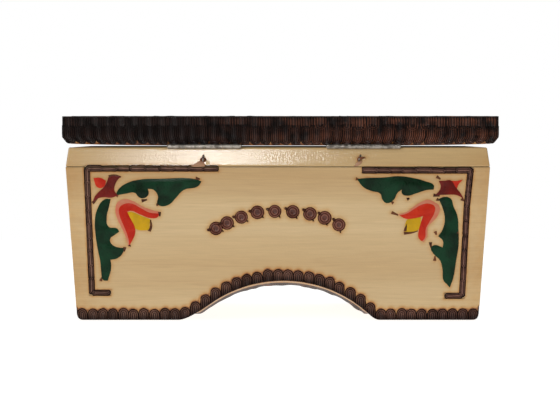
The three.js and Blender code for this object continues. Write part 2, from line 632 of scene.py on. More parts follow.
ARCH_TIP = Stamp(Form.ARCH, ARCH_PROFILE, legs=(2.4,))
EDGE_TIP = Stamp(Form.ARCH, ARCH_PROFILE, legs=(1.4, 2.9, 5.2), steps=5, depth=0.85)
RING_TIP = Stamp(Form.RING, RING_PROFILE, steps=18)
LINK_TIP = Stamp(Form.LINK, LINK_PROFILE, legs=(5.4,), steps=5)

STAMP_PITCH = 4.72
END_INSET = 0.12


@dataclass
class ScallopBand:
    """A row of arches burned along an edge, upright, with their legs cut off by it."""

    name: str
    pockets: Pockets
    half: float
    edge: Callable[[float], float]
    seed: int = 1
    flare: float = 0.0
    pitch: float = STAMP_PITCH
    rise: float = 2.85
    depth: float = 0.6
    unevenness: float = 0.08
    centres: list[tuple[float, float]] = field(default_factory=list)

    def slope(self, u: float) -> float:
        """How steeply the edge climbs at u."""
        step = 0.5
        return (self.edge(u + step) - self.edge(u - step)) / (2 * step)

    def half_at(self, v: float) -> float:
        """The row's half length at a height v."""
        return self.half + self.flare * v - END_INSET

    def lay_out(self) -> None:
        """Chooses the arches' middles, which stand higher where the edge climbs."""
        hand = random.Random(self.seed)
        count = round(2 * self.half / self.pitch)
        for i in range(count):
            u = (i + 0.5) / count * 2 * self.half - self.half
            climb = abs(self.slope(u))
            v = self.edge(u) + self.rise + 0.85 * min(climb, 0.8)
            self.centres.append((u + hand.uniform(-0.2, 0.2), v + hand.uniform(-0.25, 0.25)))

    def top(self, u: float) -> float:
        """Follows the scalloped outline.

        Args:
            u: How far along.

        Returns:
            Its height above the ground line.
        """
        radius = ARCH_TIP.radius + 0.06
        height = self.edge(u) + 0.5
        for centre_u, centre_v in self.centres:
            within = radius**2 - (u - centre_u) ** 2
            if within > 0:
                height = max(height, centre_v + math.sqrt(within))
        return height

    def burn(self) -> bpy.types.Mesh:
        """Burns the row and sinks its pocket.

        Returns:
            The burned work.
        """
        self.lay_out()
        face = self.pockets.face
        work = BurnedWork(face, self.seed, self.half_at)
        tip = ARCH_TIP.mesh()
        for u, v in self.centres:
            size = (work.hand.uniform(0.97, 1.04), work.hand.uniform(0.95, 1.05))
            lift = work.hand.uniform(-self.unevenness, 0.03)
            turn = work.hand.uniform(-0.06, 0.06)
            work.press(tip, u, v, turn, size, lift, self.edge, end_beyond=1.0)
        step = 0.35
        count = round(2 * self.half / step)
        sample = [(-1 + 2 * i / count) * self.half for i in range(count + 1)]
        outline = [(u, self.top(u)) for u in sample]
        below, beyond = 6.0, 1.0
        outline = [(-self.half - beyond, outline[0][1])] + outline
        outline.append((self.half + beyond, outline[-1][1]))
        corners_below = [(self.half + beyond, -below), (-self.half - beyond, -below)]
        self.pockets.sink(outline + corners_below, self.depth)
        burns_and_shade.add(Heat.STAMP, [face.place(u, self.top(u)) for u in sample])
        burns_and_shade.add(Heat.STAMP, work.marks())
        return work.mesh(self.name)


@dataclass
class BurnedBar:
    """A bar of links burned along a bent line."""

    name: str
    pockets: Pockets
    line: Sequence[tuple[float, float]]
    seed: int = 1
    pitch: float = 6.4
    depth: float = 0.6
    run_on: float = 0.5
    inset: float = 0.12

    def stations(self) -> list[tuple[float, float, float]]:
        """Spaces the links along each stretch of the line.

        Returns:
            Each link's u, v and turn.
        """
        found = []
        for (u0, v0), (u1, v1) in zip(self.line, self.line[1:]):
            length = math.hypot(u1 - u0, v1 - v0)
            count = max(round(length / self.pitch), 1)
            turn = math.atan2(v1 - v0, u1 - u0) + math.pi / 2
            for i in range(count):
                t = (i + 0.5) / count
                found.append((u0 + t * (u1 - u0), v0 + t * (v1 - v0), turn))
        return found

    def outline(self) -> list[tuple[float, float]]:
        """Draws both sides of the pocket, mitred at the line's bends.

        Returns:
            The pocket's corners.
        """
        half = LINK_TIP.radius - self.inset
        points = [Vector(p) for p in self.line]
        first = (points[1] - points[0]).normalized() * self.run_on
        last = (points[-1] - points[-2]).normalized() * self.run_on
        points[0], points[-1] = points[0] - first, points[-1] + last
        sides: tuple[list, list] = ([], [])
        for i, point in enumerate(points):
            before = (point - points[i - 1]).normalized() if i else None
            after = (points[i + 1] - point).normalized() if i + 1 < len(points) else before
            before = before or after
            across = Vector((-(before + after).y, (before + after).x)).normalized()
            mitre = half / max(across.dot(Vector((-after.y, after.x))), 0.5)
            sides[0].append(tuple(point + across * mitre))
            sides[1].append(tuple(point - across * mitre))
        return sides[0] + sides[1][::-1]

    def burn(self) -> bpy.types.Mesh:
        """Burns the bar and sinks its pocket.

        Returns:
            The burned work.
        """
        work = BurnedWork(self.pockets.face, self.seed)
        tip = LINK_TIP.mesh()
        half_leg = LINK_TIP.legs[0] / 2
        for u, v, turn in self.stations():
            turn += work.hand.uniform(-0.05, 0.05)
            size = (work.hand.uniform(0.9, 1.06), work.hand.uniform(0.88, 1.06))
            du = -math.sin(turn) * half_leg * size[1] + work.hand.uniform(-0.2, 0.2)
            dv = math.cos(turn) * half_leg * size[1] + work.hand.uniform(-0.2, 0.2)
            lift = work.hand.uniform(-0.16, 0.05)
            work.press(tip, u + du, v + dv, turn, size, lift)
        self.pockets.sink(self.outline(), self.depth)
        self.brown_sides()
        return work.mesh(self.name)

    def brown_sides(self) -> None:
        """Marks the burning along both sides, about a millimetre from the line."""
        step = 0.5
        for (u0, v0), (u1, v1) in zip(self.line, self.line[1:]):
            count = round(math.hypot(u1 - u0, v1 - v0) / step)
            for side in (-1, 1):
                off_u = side * (v1 - v0) / count / step
                off_v = side * (u0 - u1) / count / step
                for i in range(count + 1):
                    u = u0 + (u1 - u0) * i / count
                    v = v0 + (v1 - v0) * i / count
                    burns_and_shade.add(Heat.STAMP, [self.pockets.face.place(u + off_u, v + off_v)])


@dataclass
class RingArc:
    """Rings burned one beside another along an arc, each with the tail of its comma."""

    name: str
    pockets: Pockets
    centre: tuple[float, float]
    radii: tuple[float, float]
    angles: Sequence[float]
    seed: int = 1
    depth: float = 0.5
    inset: float = 0.1
    sides: int = 20

    # Each tail's distance from the ring's middle, its bearing, and its stretch along and across.
    TAILS = ((3.25, 2.8, 0.32, 0.22), (3.3, -0.9, 0.18, 0.11))

    def outline(self, u: float, v: float, radius: float) -> list[tuple[float, float]]:
        """The outline of a round pocket at u and v."""
        turns = [math.tau * k / self.sides for k in range(self.sides)]
        return [(u + radius * math.cos(turn), v + radius * math.sin(turn)) for turn in turns]

    def burn(self) -> bpy.types.Mesh:
        """Burns the rings and sinks a pocket under each.

        Returns:
            The burned work.
        """
        work = BurnedWork(self.pockets.face, self.seed)
        tip = RING_TIP.mesh()
        # Neighbours' pockets overlap, so they go into two helpers by turns.
        helpers = (self.pockets, Pockets(f"{self.name}_pockets", self.pockets.face))
        for index, angle in enumerate(self.angles):
            turn = math.radians(angle)
            u = self.centre[0] + self.radii[0] * math.sin(turn) + work.hand.uniform(-0.15, 0.15)
            v = self.centre[1] + self.radii[1] * math.cos(turn) + work.hand.uniform(-0.25, 0.25)
            size = (work.hand.uniform(1.04, 1.12), work.hand.uniform(1.04, 1.12))
            work.press(tip, u, v, work.hand.uniform(0, math.tau), size, 0.0)
            for reach_out, bearing, long, wide in self.TAILS:
                tail_u = u + reach_out * math.cos(bearing - turn)
                tail_v = v + reach_out * math.sin(bearing - turn)
                work.press(tip, tail_u, tail_v, bearing - turn, (long, wide), 0.4)
            radius = RING_TIP.radius * min(size) - self.inset
            helpers[index % 2].sink(self.outline(u, v, radius), self.depth)
        burns_and_shade.add(Heat.LINE, work.marks())
        return work.mesh(self.name)


# ------------------------------------------------------------------ boards


@dataclass(frozen=True)
class Arch:
    """The arch that is sawn into a board's lower edge."""

    radius: float
    top: float
    shift: float = 0.0
    soften: tuple[float, float] = (8.0, 2.5)

    def height(self, u: float) -> float:
        """Follows the cut, which runs out softly into the feet.

        Args:
            u: How far along the board.

        Returns:
            Its height.
        """
        away = u - self.shift
        inside = max(self.radius**2 - away**2, 0)
        rise = math.sqrt(inside) - (self.radius - self.top)
        soft = self.soften[0 if away < 0 else 1]
        blend = max(soft - abs(rise), 0) / soft
        return max(rise, 0) + blend**2 * soft / 4


@dataclass
class Board:
    """A board of the case, with a leaning outer face and an upright inner one.

    Its ends lean out by flare for each millimetre of height. Its upper edge rises by climb for
    each millimetre along it.
    """

    name: str
    face: Face
    half: float
    bottom: float
    top: float
    inner: float
    flare: float = 0.0
    climb: float = 0.0
    arch: Optional[Arch] = None
    corner: float = 2.5
    lean: float = 0.32
    spacing: float = 1.0

    def edge(self, u: float) -> float:
        """Follows the lower edge of the outer face.

        Args:
            u: How far along the board.

        Returns:
            Its height.
        """
        height = self.bottom
        if self.arch:
            height = max(height, self.arch.height(u))
            from_end = self.half - abs(u)
            if from_end < self.corner:
                away = self.corner - max(from_end, 0)
                height = max(height, self.corner - math.sqrt(self.corner**2 - away**2))
        return height

    def inside(self, u: float, v: float, share: float = 1.0) -> Vector:
        """Finds a point on the inner face, or part of the way to it.

        Args:
            u: How far along.
            v: How far up the outer face.
            share: How much of the way inwards.

        Returns:
            The point, in metres.
        """
        outer = self.face.place(u, v)
        level = Vector((self.face.out.x, self.face.out.y, 0)).normalized()
        depth = outer.dot(level) - self.inner * MM
        return outer - level * depth * share

    def stations(self) -> list[float]:
        """Spaces the columns, closer together at rounded corners.

        Returns:
            Their places, as shares of the half length.
        """
        fine = [0, 0.25, 0.7, 1.3, 2.0, 2.8] if self.arch else [0, 0.8]
        inner = self.half - fine[-1]
        count = round(2 * inner / self.spacing)
        middle = [-inner + 2 * inner * i / count for i in range(count + 1)]
        places = [-self.half + f for f in fine[:-1]] + middle
        places += [self.half - f for f in reversed(fine[:-1])]
        return [u / self.half for u in places]

    def mesh(self) -> bpy.types.Mesh:
        """Saws the board, and marks where its edges are darkened: painted shade along the arch's
        soffit, and darker towards both ends.

        Returns:
            Its mesh.
        """
        loops = []
        outer_rows = max(round((self.top - self.bottom) / self.spacing), 3)
        inner_rows = max(outer_rows // 4, 2)
        for share in self.stations():
            foot_u = share * self.half
            low = self.edge(foot_u)
            thickness = (self.face.place(0, low) - self.inside(0, low)).length / MM
            drop = self.lean * thickness * min(max(low - self.corner, 0) / 2.0, 1)
            column = []
            for row in range(outer_rows + 1):
                top = self.top + self.climb * foot_u
                v = low + (top - low) * row / outer_rows
                column.append(self.face.place(share * (self.half + self.flare * v), v))
            burr = 0.0
            if self.arch:
                lumps = noise.noise(Vector((foot_u * 0.3, self.inner, 0.5)))
                burr = (0.3 + max(lumps, 0)) * min(drop, 1)
            inner_low = low - drop - burr
            for row in range(inner_rows, -1, -1):
                v = inner_low + (top - inner_low) * row / inner_rows
                column.append(self.inside(share * (self.half + self.flare * v), v))
            under = []
            near_inner = 0.8
            for step in (0.9, 0.62, 0.3):
                v = low - drop * step - burr * (step > near_inner)
                under.append(self.inside(share * (self.half + self.flare * v), v, step))
            loops.append(column + under)
            # Painted shade under the arch: the soffit and its inner edge are darkened to near black
            # with char marks.
            slanted = 0.2
            if self.arch and drop > slanted:
                burns_and_shade.add(Heat.CHAR, [column[-1], under[0], under[1]])
        # Both ends of the board are made darker, fading out over some 9 mm.
        if self.arch:
            for end in (-1, 1):
                heights = range(0, round(self.top), 3)
                line = [self.face.place(end * (self.half + self.flare * v), v) for v in heights]
                burns_and_shade.add(Heat.WARMTH, line)
        return loft(self.name, loops)


@dataclass
class Case:
    """The four walls and the four rim strips. Sizes come from the frame."""

    shift: float = 0.0
    walls: dict[str, Board] = field(default_factory=dict)
    rims: dict[str, Board] = field(default_factory=dict)

    SIDES = {"back": -Y_AXIS, "front": Y_AXIS, "left": -X_AXIS, "right": X_AXIS}
    LONG_ARCH = Arch(radius=58, top=18.2, shift=2.5)
    SHORT_ARCH = Arch(radius=30, top=18.2, soften=(3.0, 3.0))

    def __post_init__(self) -> None:
        """Measures the frame and lays out every board."""
        wall_x, wall_low_x = reach("back_wall", X_AXIS), reach("back_wall", -X_AXIS)
        self.shift = (wall_x - wall_low_x) / 2
        for side, outward in self.SIDES.items():
            wall, rim = f"{side}_wall", f"{side}_rim"
            ridge = reach(wall, Z_AXIS)
            foot_reach, ridge_reach = reach(wall, outward, 0), reach(wall, outward, ridge)
            seam = -reach(rim, -Z_AXIS)
            low_reach, high_reach = reach(rim, outward, seam), reach(rim, outward)
            rim_top = reach(rim, Z_AXIS)
            top_reach = reach(rim, outward, rim_top)
            along = Z_AXIS.cross(outward)
            middle = X_AXIS * self.shift
            across = middle.dot(outward)
            inner = min(p.dot(outward) for p in corners(rim))
            flare = (ridge_reach - foot_reach) / ridge
            pull = (top_reach - low_reach) / (rim_top - seam)
            wall_foot = middle + outward * (foot_reach - across)
            rim_foot = middle + outward * (max(low_reach, high_reach) - across) + Z_AXIS * seam
            long = side in ("back", "front")
            half = reach(wall, along, 0) - middle.dot(along)
            rim_half = reach(rim, along, seam) - middle.dot(along)
            arch = self.LONG_ARCH if long else self.SHORT_ARCH
            if side == "front":
                arch = Arch(arch.radius, arch.top, -arch.shift, arch.soften[::-1])
            self.walls[side] = Board(
                wall,
                Face(wall_foot, along, Z_AXIS + outward * flare),
                half,
                0.0,
                ridge,
                inner,
                flare if long else 0.0,
                arch=arch,
            )
            low_top = reach("back_rim", Z_AXIS) if side != "front" else rim_top
            climb = 0.0 if long else (rim_top - low_top) / (2 * rim_half)
            self.rims[side] = Board(
                rim,
                Face(rim_foot, along, Z_AXIS + outward * pull),
                rim_half,
                0.0,
                (rim_top + low_top) / 2 - seam if not long else rim_top - seam,
                inner,
                pull if long else 0.0,
                climb=climb if side == "right" else -climb,
            )


@dataclass
class Lid:
    """The lid board, with stamps burned all round its edge."""

    half_x: float = field(default_factory=lambda: reach("lid_board", X_AXIS))
    half_y: float = field(default_factory=lambda: reach("lid_board", Y_AXIS))
    bottom: float = field(default_factory=lambda: -reach("lid_board", -Z_AXIS))
    top: float = field(default_factory=lambda: reach("lid_board", Z_AXIS))
    bevel_in: float = 2.5
    bevel_end: float = 2.7
    bevel_up: float = 3.9
    lift_from: float = 58.0
    lift: float = 0.8
    inset: float = 0.75
    spacing: float = 1.5
    upper_size: float = 1.28
    upper_middle: float = 9.5
    lower_end: float = 9.9
    legs_kept: float = 4.0

    def under(self, x: float) -> float:
        """Height of the underside at x: it is carved away towards both ends."""
        beyond = max(abs(x) - self.lift_from, 0) / (self.half_x + 1 - self.lift_from)
        return self.bottom + self.lift * beyond**2

    def mesh(self) -> bpy.types.Mesh:
        """Makes the board without its burned band.

        Returns:
            Its mesh.
        """
        half_x, half_y = self.half_x - self.inset, self.half_y - self.inset
        columns = round(2 * half_x / self.spacing)
        rows = round(2 * half_y / self.spacing)
        under_steps, side_steps = 12, 4
        loops = []
        for column in range(columns + 1):
            share = -1 + 2 * column / columns
            under = self.under(share * half_x)
            section = []
            low_y = half_y - self.bevel_in
            for step in range(under_steps + 1):
                section.append((-low_y + 2 * low_y * step / under_steps, under))
            bend = self.bottom + self.bevel_up
            heights = range(side_steps + 1)
            side = [bend + (self.top - bend) * step / side_steps for step in heights]
            section += [(half_y, z) for z in side]
            section += [(half_y - 2 * half_y * row / rows, self.top) for row in range(1, rows)]
            section += [(-half_y, z) for z in reversed(side)]
            loop = []
            for y, z in section:
                low = min((z - under) / (bend - under), 1)
                x = share * (half_x - self.bevel_end * (1 - low))
                loop.append(Vector((x, y, z)) * MM)
            loops.append(loop)
        return loft("lid_board", loops)

    def top_face(self, outward: Vector) -> Face:
        """The top, seen with one of its edges at the bottom."""
        half = self.half_y if abs(outward.y) > 0.5 else self.half_x
        return Face(outward * half + Z_AXIS * self.top, Z_AXIS.cross(outward), -outward)

    def burn_edge(self, side: str, outward: Vector, seed: int) -> bpy.types.Mesh:
        """Burns two rows of stamps along one side of the edge.

        Args:
            side: The side's name.
            outward: The direction it looks in.
            seed: Chooses the run of unsteadiness.

        Returns:
            The burned band.
        """
        long = abs(outward.y) > 0.5
        half, across = (self.half_x, self.half_y) if long else (self.half_y, self.half_x)
        edge = BentEdge(
            outward * across + Z_AXIS * self.bottom,
            Z_AXIS.cross(outward),
            outward,
            half,
            self.bevel_in if long else self.bevel_end,
            self.bevel_up,
        )
        height = edge.bevel + self.top - self.bottom - self.bevel_up

        def upper_end(u: float, ragged: float) -> float:
            """Where a stamp of the upper row ends, just under the lid's top."""
            return height - 0.1 + ragged + 0.2 * noise.noise(Vector((u / 4, seed, 0)))

        work = BurnedWork(edge, seed, lambda v: half - END_INSET)
        hand = work.hand
        upper = EDGE_TIP.mesh()
        count = round(2 * half / (STAMP_PITCH * self.upper_size))
        for i in range(count):
            u = (i + 0.5) / count * 2 * half - half + hand.uniform(-0.2, 0.2)
            ragged = hand.uniform(-0.22, 0.1)
            middle = self.upper_middle + hand.uniform(-0.5, 0.5)
            size = (self.upper_size * hand.uniform(1.03, 1.12), 1)
            lean = math.pi + hand.uniform(-0.03, 0.03)
            lift = hand.uniform(-0.2, -0.1)
            end = partial(upper_end, ragged=ragged)
            work.press(upper, u, middle, lean, size, lift, end, self.legs_kept)
        lower = EDGE_TIP.mesh()
        count = round(2 * half / STAMP_PITCH)
        for i in range(count):
            u = (i + 0.5) / count * 2 * half - half + hand.uniform(-0.25, 0.25)
            ground = self.under(u) - self.bottom if long else self.under(across) - self.bottom
            middle = ARCH_TIP.radius - END_INSET + ground + abs(hand.gauss(0, 0.16))
            finish = self.lower_end + hand.uniform(-0.7, 0.7)
            size = (hand.uniform(1.02, 1.1), 1)
            lean = math.pi + hand.uniform(-0.025, 0.025)
            lift = hand.uniform(-0.02, 0.06)
            work.press(lower, u, middle, lean, size, lift, lambda _: finish, self.legs_kept)
        near_arris = (0.0, 0.8, 1.6)
        for step in range(-round(half), round(half) + 1):
            burns_and_shade.add(Heat.CHAR, [edge.place(step, v, -self.inset) for v in near_arris])
        return work.mesh(f"lid_edge_{side}")


# ------------------------------------------------------------------ painted work

Outline = tuple[tuple[float, float], ...]


def surface_of(curve: bpy.types.Curve) -> bmesh.types.BMesh:
    """Makes a curve's surface a bmesh.

    Args:
        curve: The curve, with its depth and bevel. It is removed.

    Returns:
        Its surface.
    """
    holder = bpy.data.objects.new(curve.name, curve)
    show(holder)
    surface = bpy.data.meshes.new_from_object(
        holder.evaluated_get(bpy.context.evaluated_depsgraph_get())
    )
    bpy.data.objects.remove(holder)
    bpy.data.curves.remove(curve)
    bm = bmesh.new()
    bm.from_mesh(surface)
    bpy.data.meshes.remove(surface)
    return bm


def enamel_patch(
    name: str, face: Face, outlines: Sequence[Outline], lift: float, thickness: float = 0.09
) -> bpy.types.Mesh:
    """Lays patches of thick paint on a face.

    Args:
        name: The mesh's name.
        face: Where they lie.
        outlines: The knots of each patch. Their curve is sharp where it turns by a lot.
        lift: How far the paint's middle stands above the wood.
        thickness: How thick the paint is.

    Returns:
        The paint's mesh.
    """
    sharp = math.radians(72)
    curve = bpy.data.curves.new(name, "CURVE")
    curve.dimensions = "2D"
    curve.fill_mode = "BOTH"
    curve.resolution_u = 5
    curve.extrude = thickness / 2
    curve.bevel_depth = thickness / 2
    curve.offset = -thickness / 2
    curve.bevel_resolution = 1
    for outline in outlines:
        spline = curve.splines.new("BEZIER")
        spline.use_cyclic_u = True
        spline.bezier_points.add(len(outline) - 1)
        for i, (u, v) in enumerate(outline):
            before, after = Vector(outline[i - 1]), Vector(outline[(i + 1) % len(outline)])
            here = Vector((u, v))
            turn = (here - before).angle(after - here)
            knot = spline.bezier_points[i]
            knot.co = (u, v, 0)
            kind = "VECTOR" if turn > sharp else "AUTO"
            knot.handle_left_type = knot.handle_right_type = kind
    bm = surface_of(curve)
    bmesh.ops.remove_doubles(bm, verts=bm.verts, dist=1e-4)
    for vertex in bm.verts:
        u, v, w = vertex.co
        vertex.co = face.place(u, v, w + lift)
    mesh = as_mesh(name, bm)
    smooth(mesh, 50)
    return mesh


def burned_strokes(
    name: str, face: Face, strokes: Sequence[Outline], width: float = 0.68
) -> bpy.types.Mesh:
    """Draws short strokes with a hot point: rounded beads with thin ends, half sunk in the wood.

    Args:
        name: The mesh's name.
        face: Where they lie.
        strokes: The points of each stroke.
        width: Half the width at the thickest.

    Returns:
        The strokes' mesh.
    """
    curve = bpy.data.curves.new(name, "CURVE")
    curve.dimensions = "3D"
    curve.resolution_u = 4
    curve.bevel_depth = width
    curve.bevel_resolution = 2
    curve.use_fill_caps = True
    for stroke in strokes:
        spline = curve.splines.new("BEZIER")
        spline.bezier_points.add(len(stroke) - 1)
        for i, (u, v) in enumerate(stroke):
            knot = spline.bezier_points[i]
            knot.co = (u, v, 0)
            knot.handle_left_type = knot.handle_right_type = "AUTO"
            knot.radius = (1.15, 0.8, 0.5)[min(i * 2 // (len(stroke) - 1), 2)]
    bm = surface_of(curve)
    flatten = 0.3
    for vertex in bm.verts:
        u, v, w = vertex.co
        vertex.co = face.place(u, v, w * flatten)
    mesh = as_mesh(name, bm)
    smooth(mesh, 60)
    return mesh


class Colour(Enum):
    """The enamels, with their linear colours and a second tone that they drift to."""

    GREEN = ((0.001, 0.012, 0.003), (0.003, 0.034, 0.012))
    RED = ((0.42, 0.014, 0.004), (0.54, 0.032, 0.01))
    WINE = ((0.085, 0.008, 0.006), (0.17, 0.012, 0.008))
    PINK = ((0.56, 0.14, 0.08), (0.52, 0.21, 0.12))
    YELLOW = ((0.56, 0.32, 0.006), (0.42, 0.25, 0.01))


@dataclass(frozen=True)
class Spray:
    """A corner spray: two leaves, a small flower in the corner and a tulip between the leaves.

    Its outlines are in millimetres from the corner of the bars that frame it.
    """

    patches: dict[Colour, tuple[Outline, ...]]
    strokes: tuple[Outline, ...]

    def lift(self, colour: Colour) -> float:
        """How high each colour lies, since the red lies over the pink."""
        return {Colour.PINK: 0.0, Colour.YELLOW: 0.02, Colour.WINE: 0.09}.get(colour, 0.05)


LEFT_SPRAY = Spray(
    patches={
        Colour.GREEN: (
            (
                (11.5, -11), (13, -8), (17, -5.2), (22.5, -3.7), (32, -3.3), (48.5, -3.5),
                (51, -4.6), (49.3, -6.8), (42.8, -8.5), (39.3, -12), (36, -15.2), (31.6, -15.7),
                (30.6, -14.6), (31, -11.5), (29, -8.4), (26.4, -7.9), (26.6, -10.6),
                (24, -12.3), (22, -11.6), (20.4, -9.8), (16, -10.2),
            ),
            (
                (6.6, -12.7), (9.3, -12.6), (8.4, -16.5), (7.4, -21), (8.2, -25.3),
                (12.2, -26.2), (13.1, -27.7), (10.8, -29.3), (9, -30.8), (9.3, -33),
                (11.5, -34.6), (15.3, -35.2), (14.6, -37.6), (12, -40), (9, -40.6), (9.3, -44),
                (7.7, -50.3), (5.6, -50), (4.7, -46.5), (4.3, -41.5), (3.2, -36), (2.2, -29),
                (1.9, -23.5), (3, -17.5),
            ),
        ),
        Colour.RED: (
            ((1.5, -3), (4.5, -2.8), (7.2, -4.2), (6.6, -6.5), (4.8, -7.6), (2.8, -6.8), (2, -5)),
            (
                (13.2, -16.7), (15.5, -14.9), (18.5, -14.6), (23, -16.7), (27, -18.8),
                (31.3, -19.3), (31, -20.8), (27.5, -21.4), (22.5, -19.6), (18.5, -18),
                (16.8, -18.3), (18.3, -21.5), (20.3, -25.5), (20.4, -28.5), (19.2, -31.5),
                (17.8, -33.9), (16.9, -29.5), (15.2, -25), (13.4, -20.5),
            ),
        ),
        Colour.WINE: (
            (
                (7.8, -4.2), (8.5, -2.5), (11, -1.9), (14, -2.4), (12.6, -3.8), (11.6, -5.5),
                (11, -8.5), (12.6, -11), (9.5, -12), (6, -11.8), (3.2, -12.5), (0.9, -14.4),
                (2, -11.5), (3.8, -9.3), (6.3, -7),
            ),
        ),
        Colour.PINK: (
            (
                (11.5, -16.6), (12.6, -13.9), (15.5, -12.7), (19, -13.3), (24, -16.1),
                (28.5, -17.7), (32, -18.5), (32, -20), (25, -19), (18, -17), (17, -20),
                (18.5, -26), (18.5, -31), (17.3, -34.2), (15.7, -28.9), (13.7, -24.8),
                (12, -21),
            ),
        ),
        Colour.YELLOW: (
            ((17, -18.6), (19.5, -18.7), (23, -20.2), (27.3, -21.8), (27, -27), (20.6, -26.3)),
        ),
    },
    strokes=(
        ((8.5, -2.4), (11, -1.8), (14.1, -2.5)),
        ((1, -14.5), (3.2, -12.3)),
        ((12.7, -11.2), (11.6, -10.9)),
        ((23.5, -13.5), (26, -12.9)),
        ((17.7, -34.4), (17.9, -33.6)),
        ((4.4, -50.4), (5, -48.8)),
        ((48.3, -3.1), (50.3, -3.5)),
        ((15.6, -34.8), (15.3, -36.8)),
        ((26.9, -27.4), (27.8, -25), (27.4, -22.2)),
        ((31.6, -18.6), (31.8, -20.6)),
        ((31, -15.6), (30.4, -14.6)),
    ),
)

RIGHT_SPRAY = Spray(
    patches={
        Colour.GREEN: (
            (
                (-50.6, -2.5), (-46, -2), (-38, -1.8), (-31.5, -1.2), (-25, -2), (-19, -3.6),
                (-15.2, -5.5), (-15.4, -7.4), (-18.5, -7.6), (-23, -9), (-27.5, -10.2),
                (-29.8, -9.3), (-30, -7.4), (-32, -9), (-33.5, -12), (-36.8, -13.6),
                (-38.8, -12), (-39.8, -9.3), (-44, -8), (-47.5, -6.3),
            ),
            (
                (-13, -11.7), (-10.3, -10.7), (-7.4, -11.6), (-6.2, -15), (-4.3, -19.5),
                (-3.8, -26), (-3.7, -33), (-4.8, -40.5), (-6, -48), (-7.6, -52.6),
                (-8.7, -51.3), (-10.5, -49.3), (-11, -44), (-12.2, -40), (-15.3, -36.8),
                (-16.4, -34.3), (-15, -33), (-11, -34), (-10.9, -31), (-13.1, -28.9),
                (-11, -25.5), (-10.1, -21), (-11.3, -15.5),
            ),
        ),
        Colour.RED: (
            (
                (-31, -19.3), (-27.5, -18.3), (-24, -16.1), (-20.5, -14.2), (-17, -13.9),
                (-14.7, -15.3), (-14.9, -18), (-17, -22), (-18.8, -25.5), (-19.1, -29.5),
                (-20.5, -31.2), (-22, -29.8), (-22, -26), (-21, -22.3), (-20.1, -19.6),
                (-24, -20.6), (-28, -20.8),
            ),
            ((-8.4, -3.2), (-5, -3.4), (-2, -2.8), (-4, -5.2), (-4.7, -7), (-7.2, -6.4)),
        ),
        Colour.WINE: (
            (
                (-13, -3.4), (-10.5, -3.3), (-7.4, -3.2), (-5.4, -6), (-4.6, -7), (-3, -9),
                (-1.4, -11.7), (-4.5, -10), (-9, -9.7), (-15.2, -10.1), (-13.2, -8.5),
                (-12.1, -6),
            ),
        ),
        Colour.PINK: (
            (
                (-31.8, -18.8), (-27.5, -17.5), (-24, -14.9), (-20.5, -12.8), (-18, -12),
                (-15.3, -12.9), (-12.5, -15.3), (-12.8, -18.3), (-15.3, -21.8),
                (-17.8, -24.5), (-18.2, -29), (-19.9, -31.7), (-21, -25), (-18, -17),
                (-26, -20),
            ),
        ),
        Colour.YELLOW: (
            ((-27, -20.7), (-21, -20.2), (-21.3, -23.5), (-22.4, -26), (-28.6, -27)),
        ),
    },
    strokes=(
        ((-51, -2.4), (-49.6, -2.8)),
        ((-14, -1.4), (-12.2, -2.6)),
        ((-34.6, -17.9), (-31.5, -19.1)),
        ((-34.6, -13.6), (-33.6, -13.1)),
        ((-27.5, -11.9), (-26.4, -11.3)),
        ((-14.5, -26.6), (-13.9, -28.2)),
        ((-16.6, -31.6), (-16.5, -33), (-15.9, -35)),
        ((-14.6, -40.2), (-14.5, -38)),
        ((-13.9, -11.7), (-12.8, -12.4)),
        ((-15.4, -9.9), (-12.5, -10.3)),
        ((-28.9, -27.4), (-25.8, -27.2), (-22.5, -26.3)),
        ((-28.3, -26.5), (-27.4, -22.6)),
        ((-2.6, -11.6), (-1.2, -12.6)),
        ((-3.9, -27.2), (-4.8, -27.6)),
    ),
)


def around(outline: Outline, count: int, phase: float = 0.0) -> tuple[Outline, ...]:
    """Copies an outline in even steps about its origin.

    Args:
        outline: The outline.
        count: How many copies.
        phase: The first copy's turn, in degrees.

    Returns:
        The copies.
    """
    copies = []
    for i in range(count):
        turn = math.radians(phase + 360 * i / count)
        cos, sin = math.cos(turn), math.sin(turn)
        copies.append(tuple((u * cos - v * sin, u * sin + v * cos) for u, v in outline))
    return tuple(copies)


SMALL_LEAF = (
    (5, 0.3), (8.5, 3.2), (12.5, 2.6), (14.5, 4.2), (18, 2.2), (22.5, 0),
    (18, -1.6), (15, -3.8), (12, -2.6), (8.5, -3),
)
WIDE_PETAL = ((2.2, 0), (4.6, 3.1), (9, 3.2), (11.6, 0), (9, -3.2), (4.6, -3.1))
PETAL = ((2.8, 0), (5, 2.2), (8.4, 2.3), (10.6, 0), (8.4, -2.3), (5, -2.2))
ROSETTE = Spray(
    patches={
        Colour.GREEN: sum((around(SMALL_LEAF, 1, turn) for turn in (28, -28, 152, 208)), ()),
        Colour.PINK: around(WIDE_PETAL, 4),
        Colour.RED: around(PETAL, 4),
        Colour.YELLOW: (sum(around(((2.6, 0),), 8), ()),),
    },
    strokes=around(((11.4, 0), (13.6, 0)), 4),
)


def joined(name: str, meshes: Sequence[bpy.types.Mesh]) -> bpy.types.Mesh:
    """Joins meshes into one.

    Args:
        name: The new mesh's name.
        meshes: What is joined. They are removed.

    Returns:
        The joined mesh.
    """
    bm = bmesh.new()
    for mesh in meshes:
        bm.from_mesh(mesh)
        bpy.data.meshes.remove(mesh)
    made = bpy.data.meshes.new(name)
    bm.to_mesh(made)
    bm.free()
    smooth(made, 50)
    return made


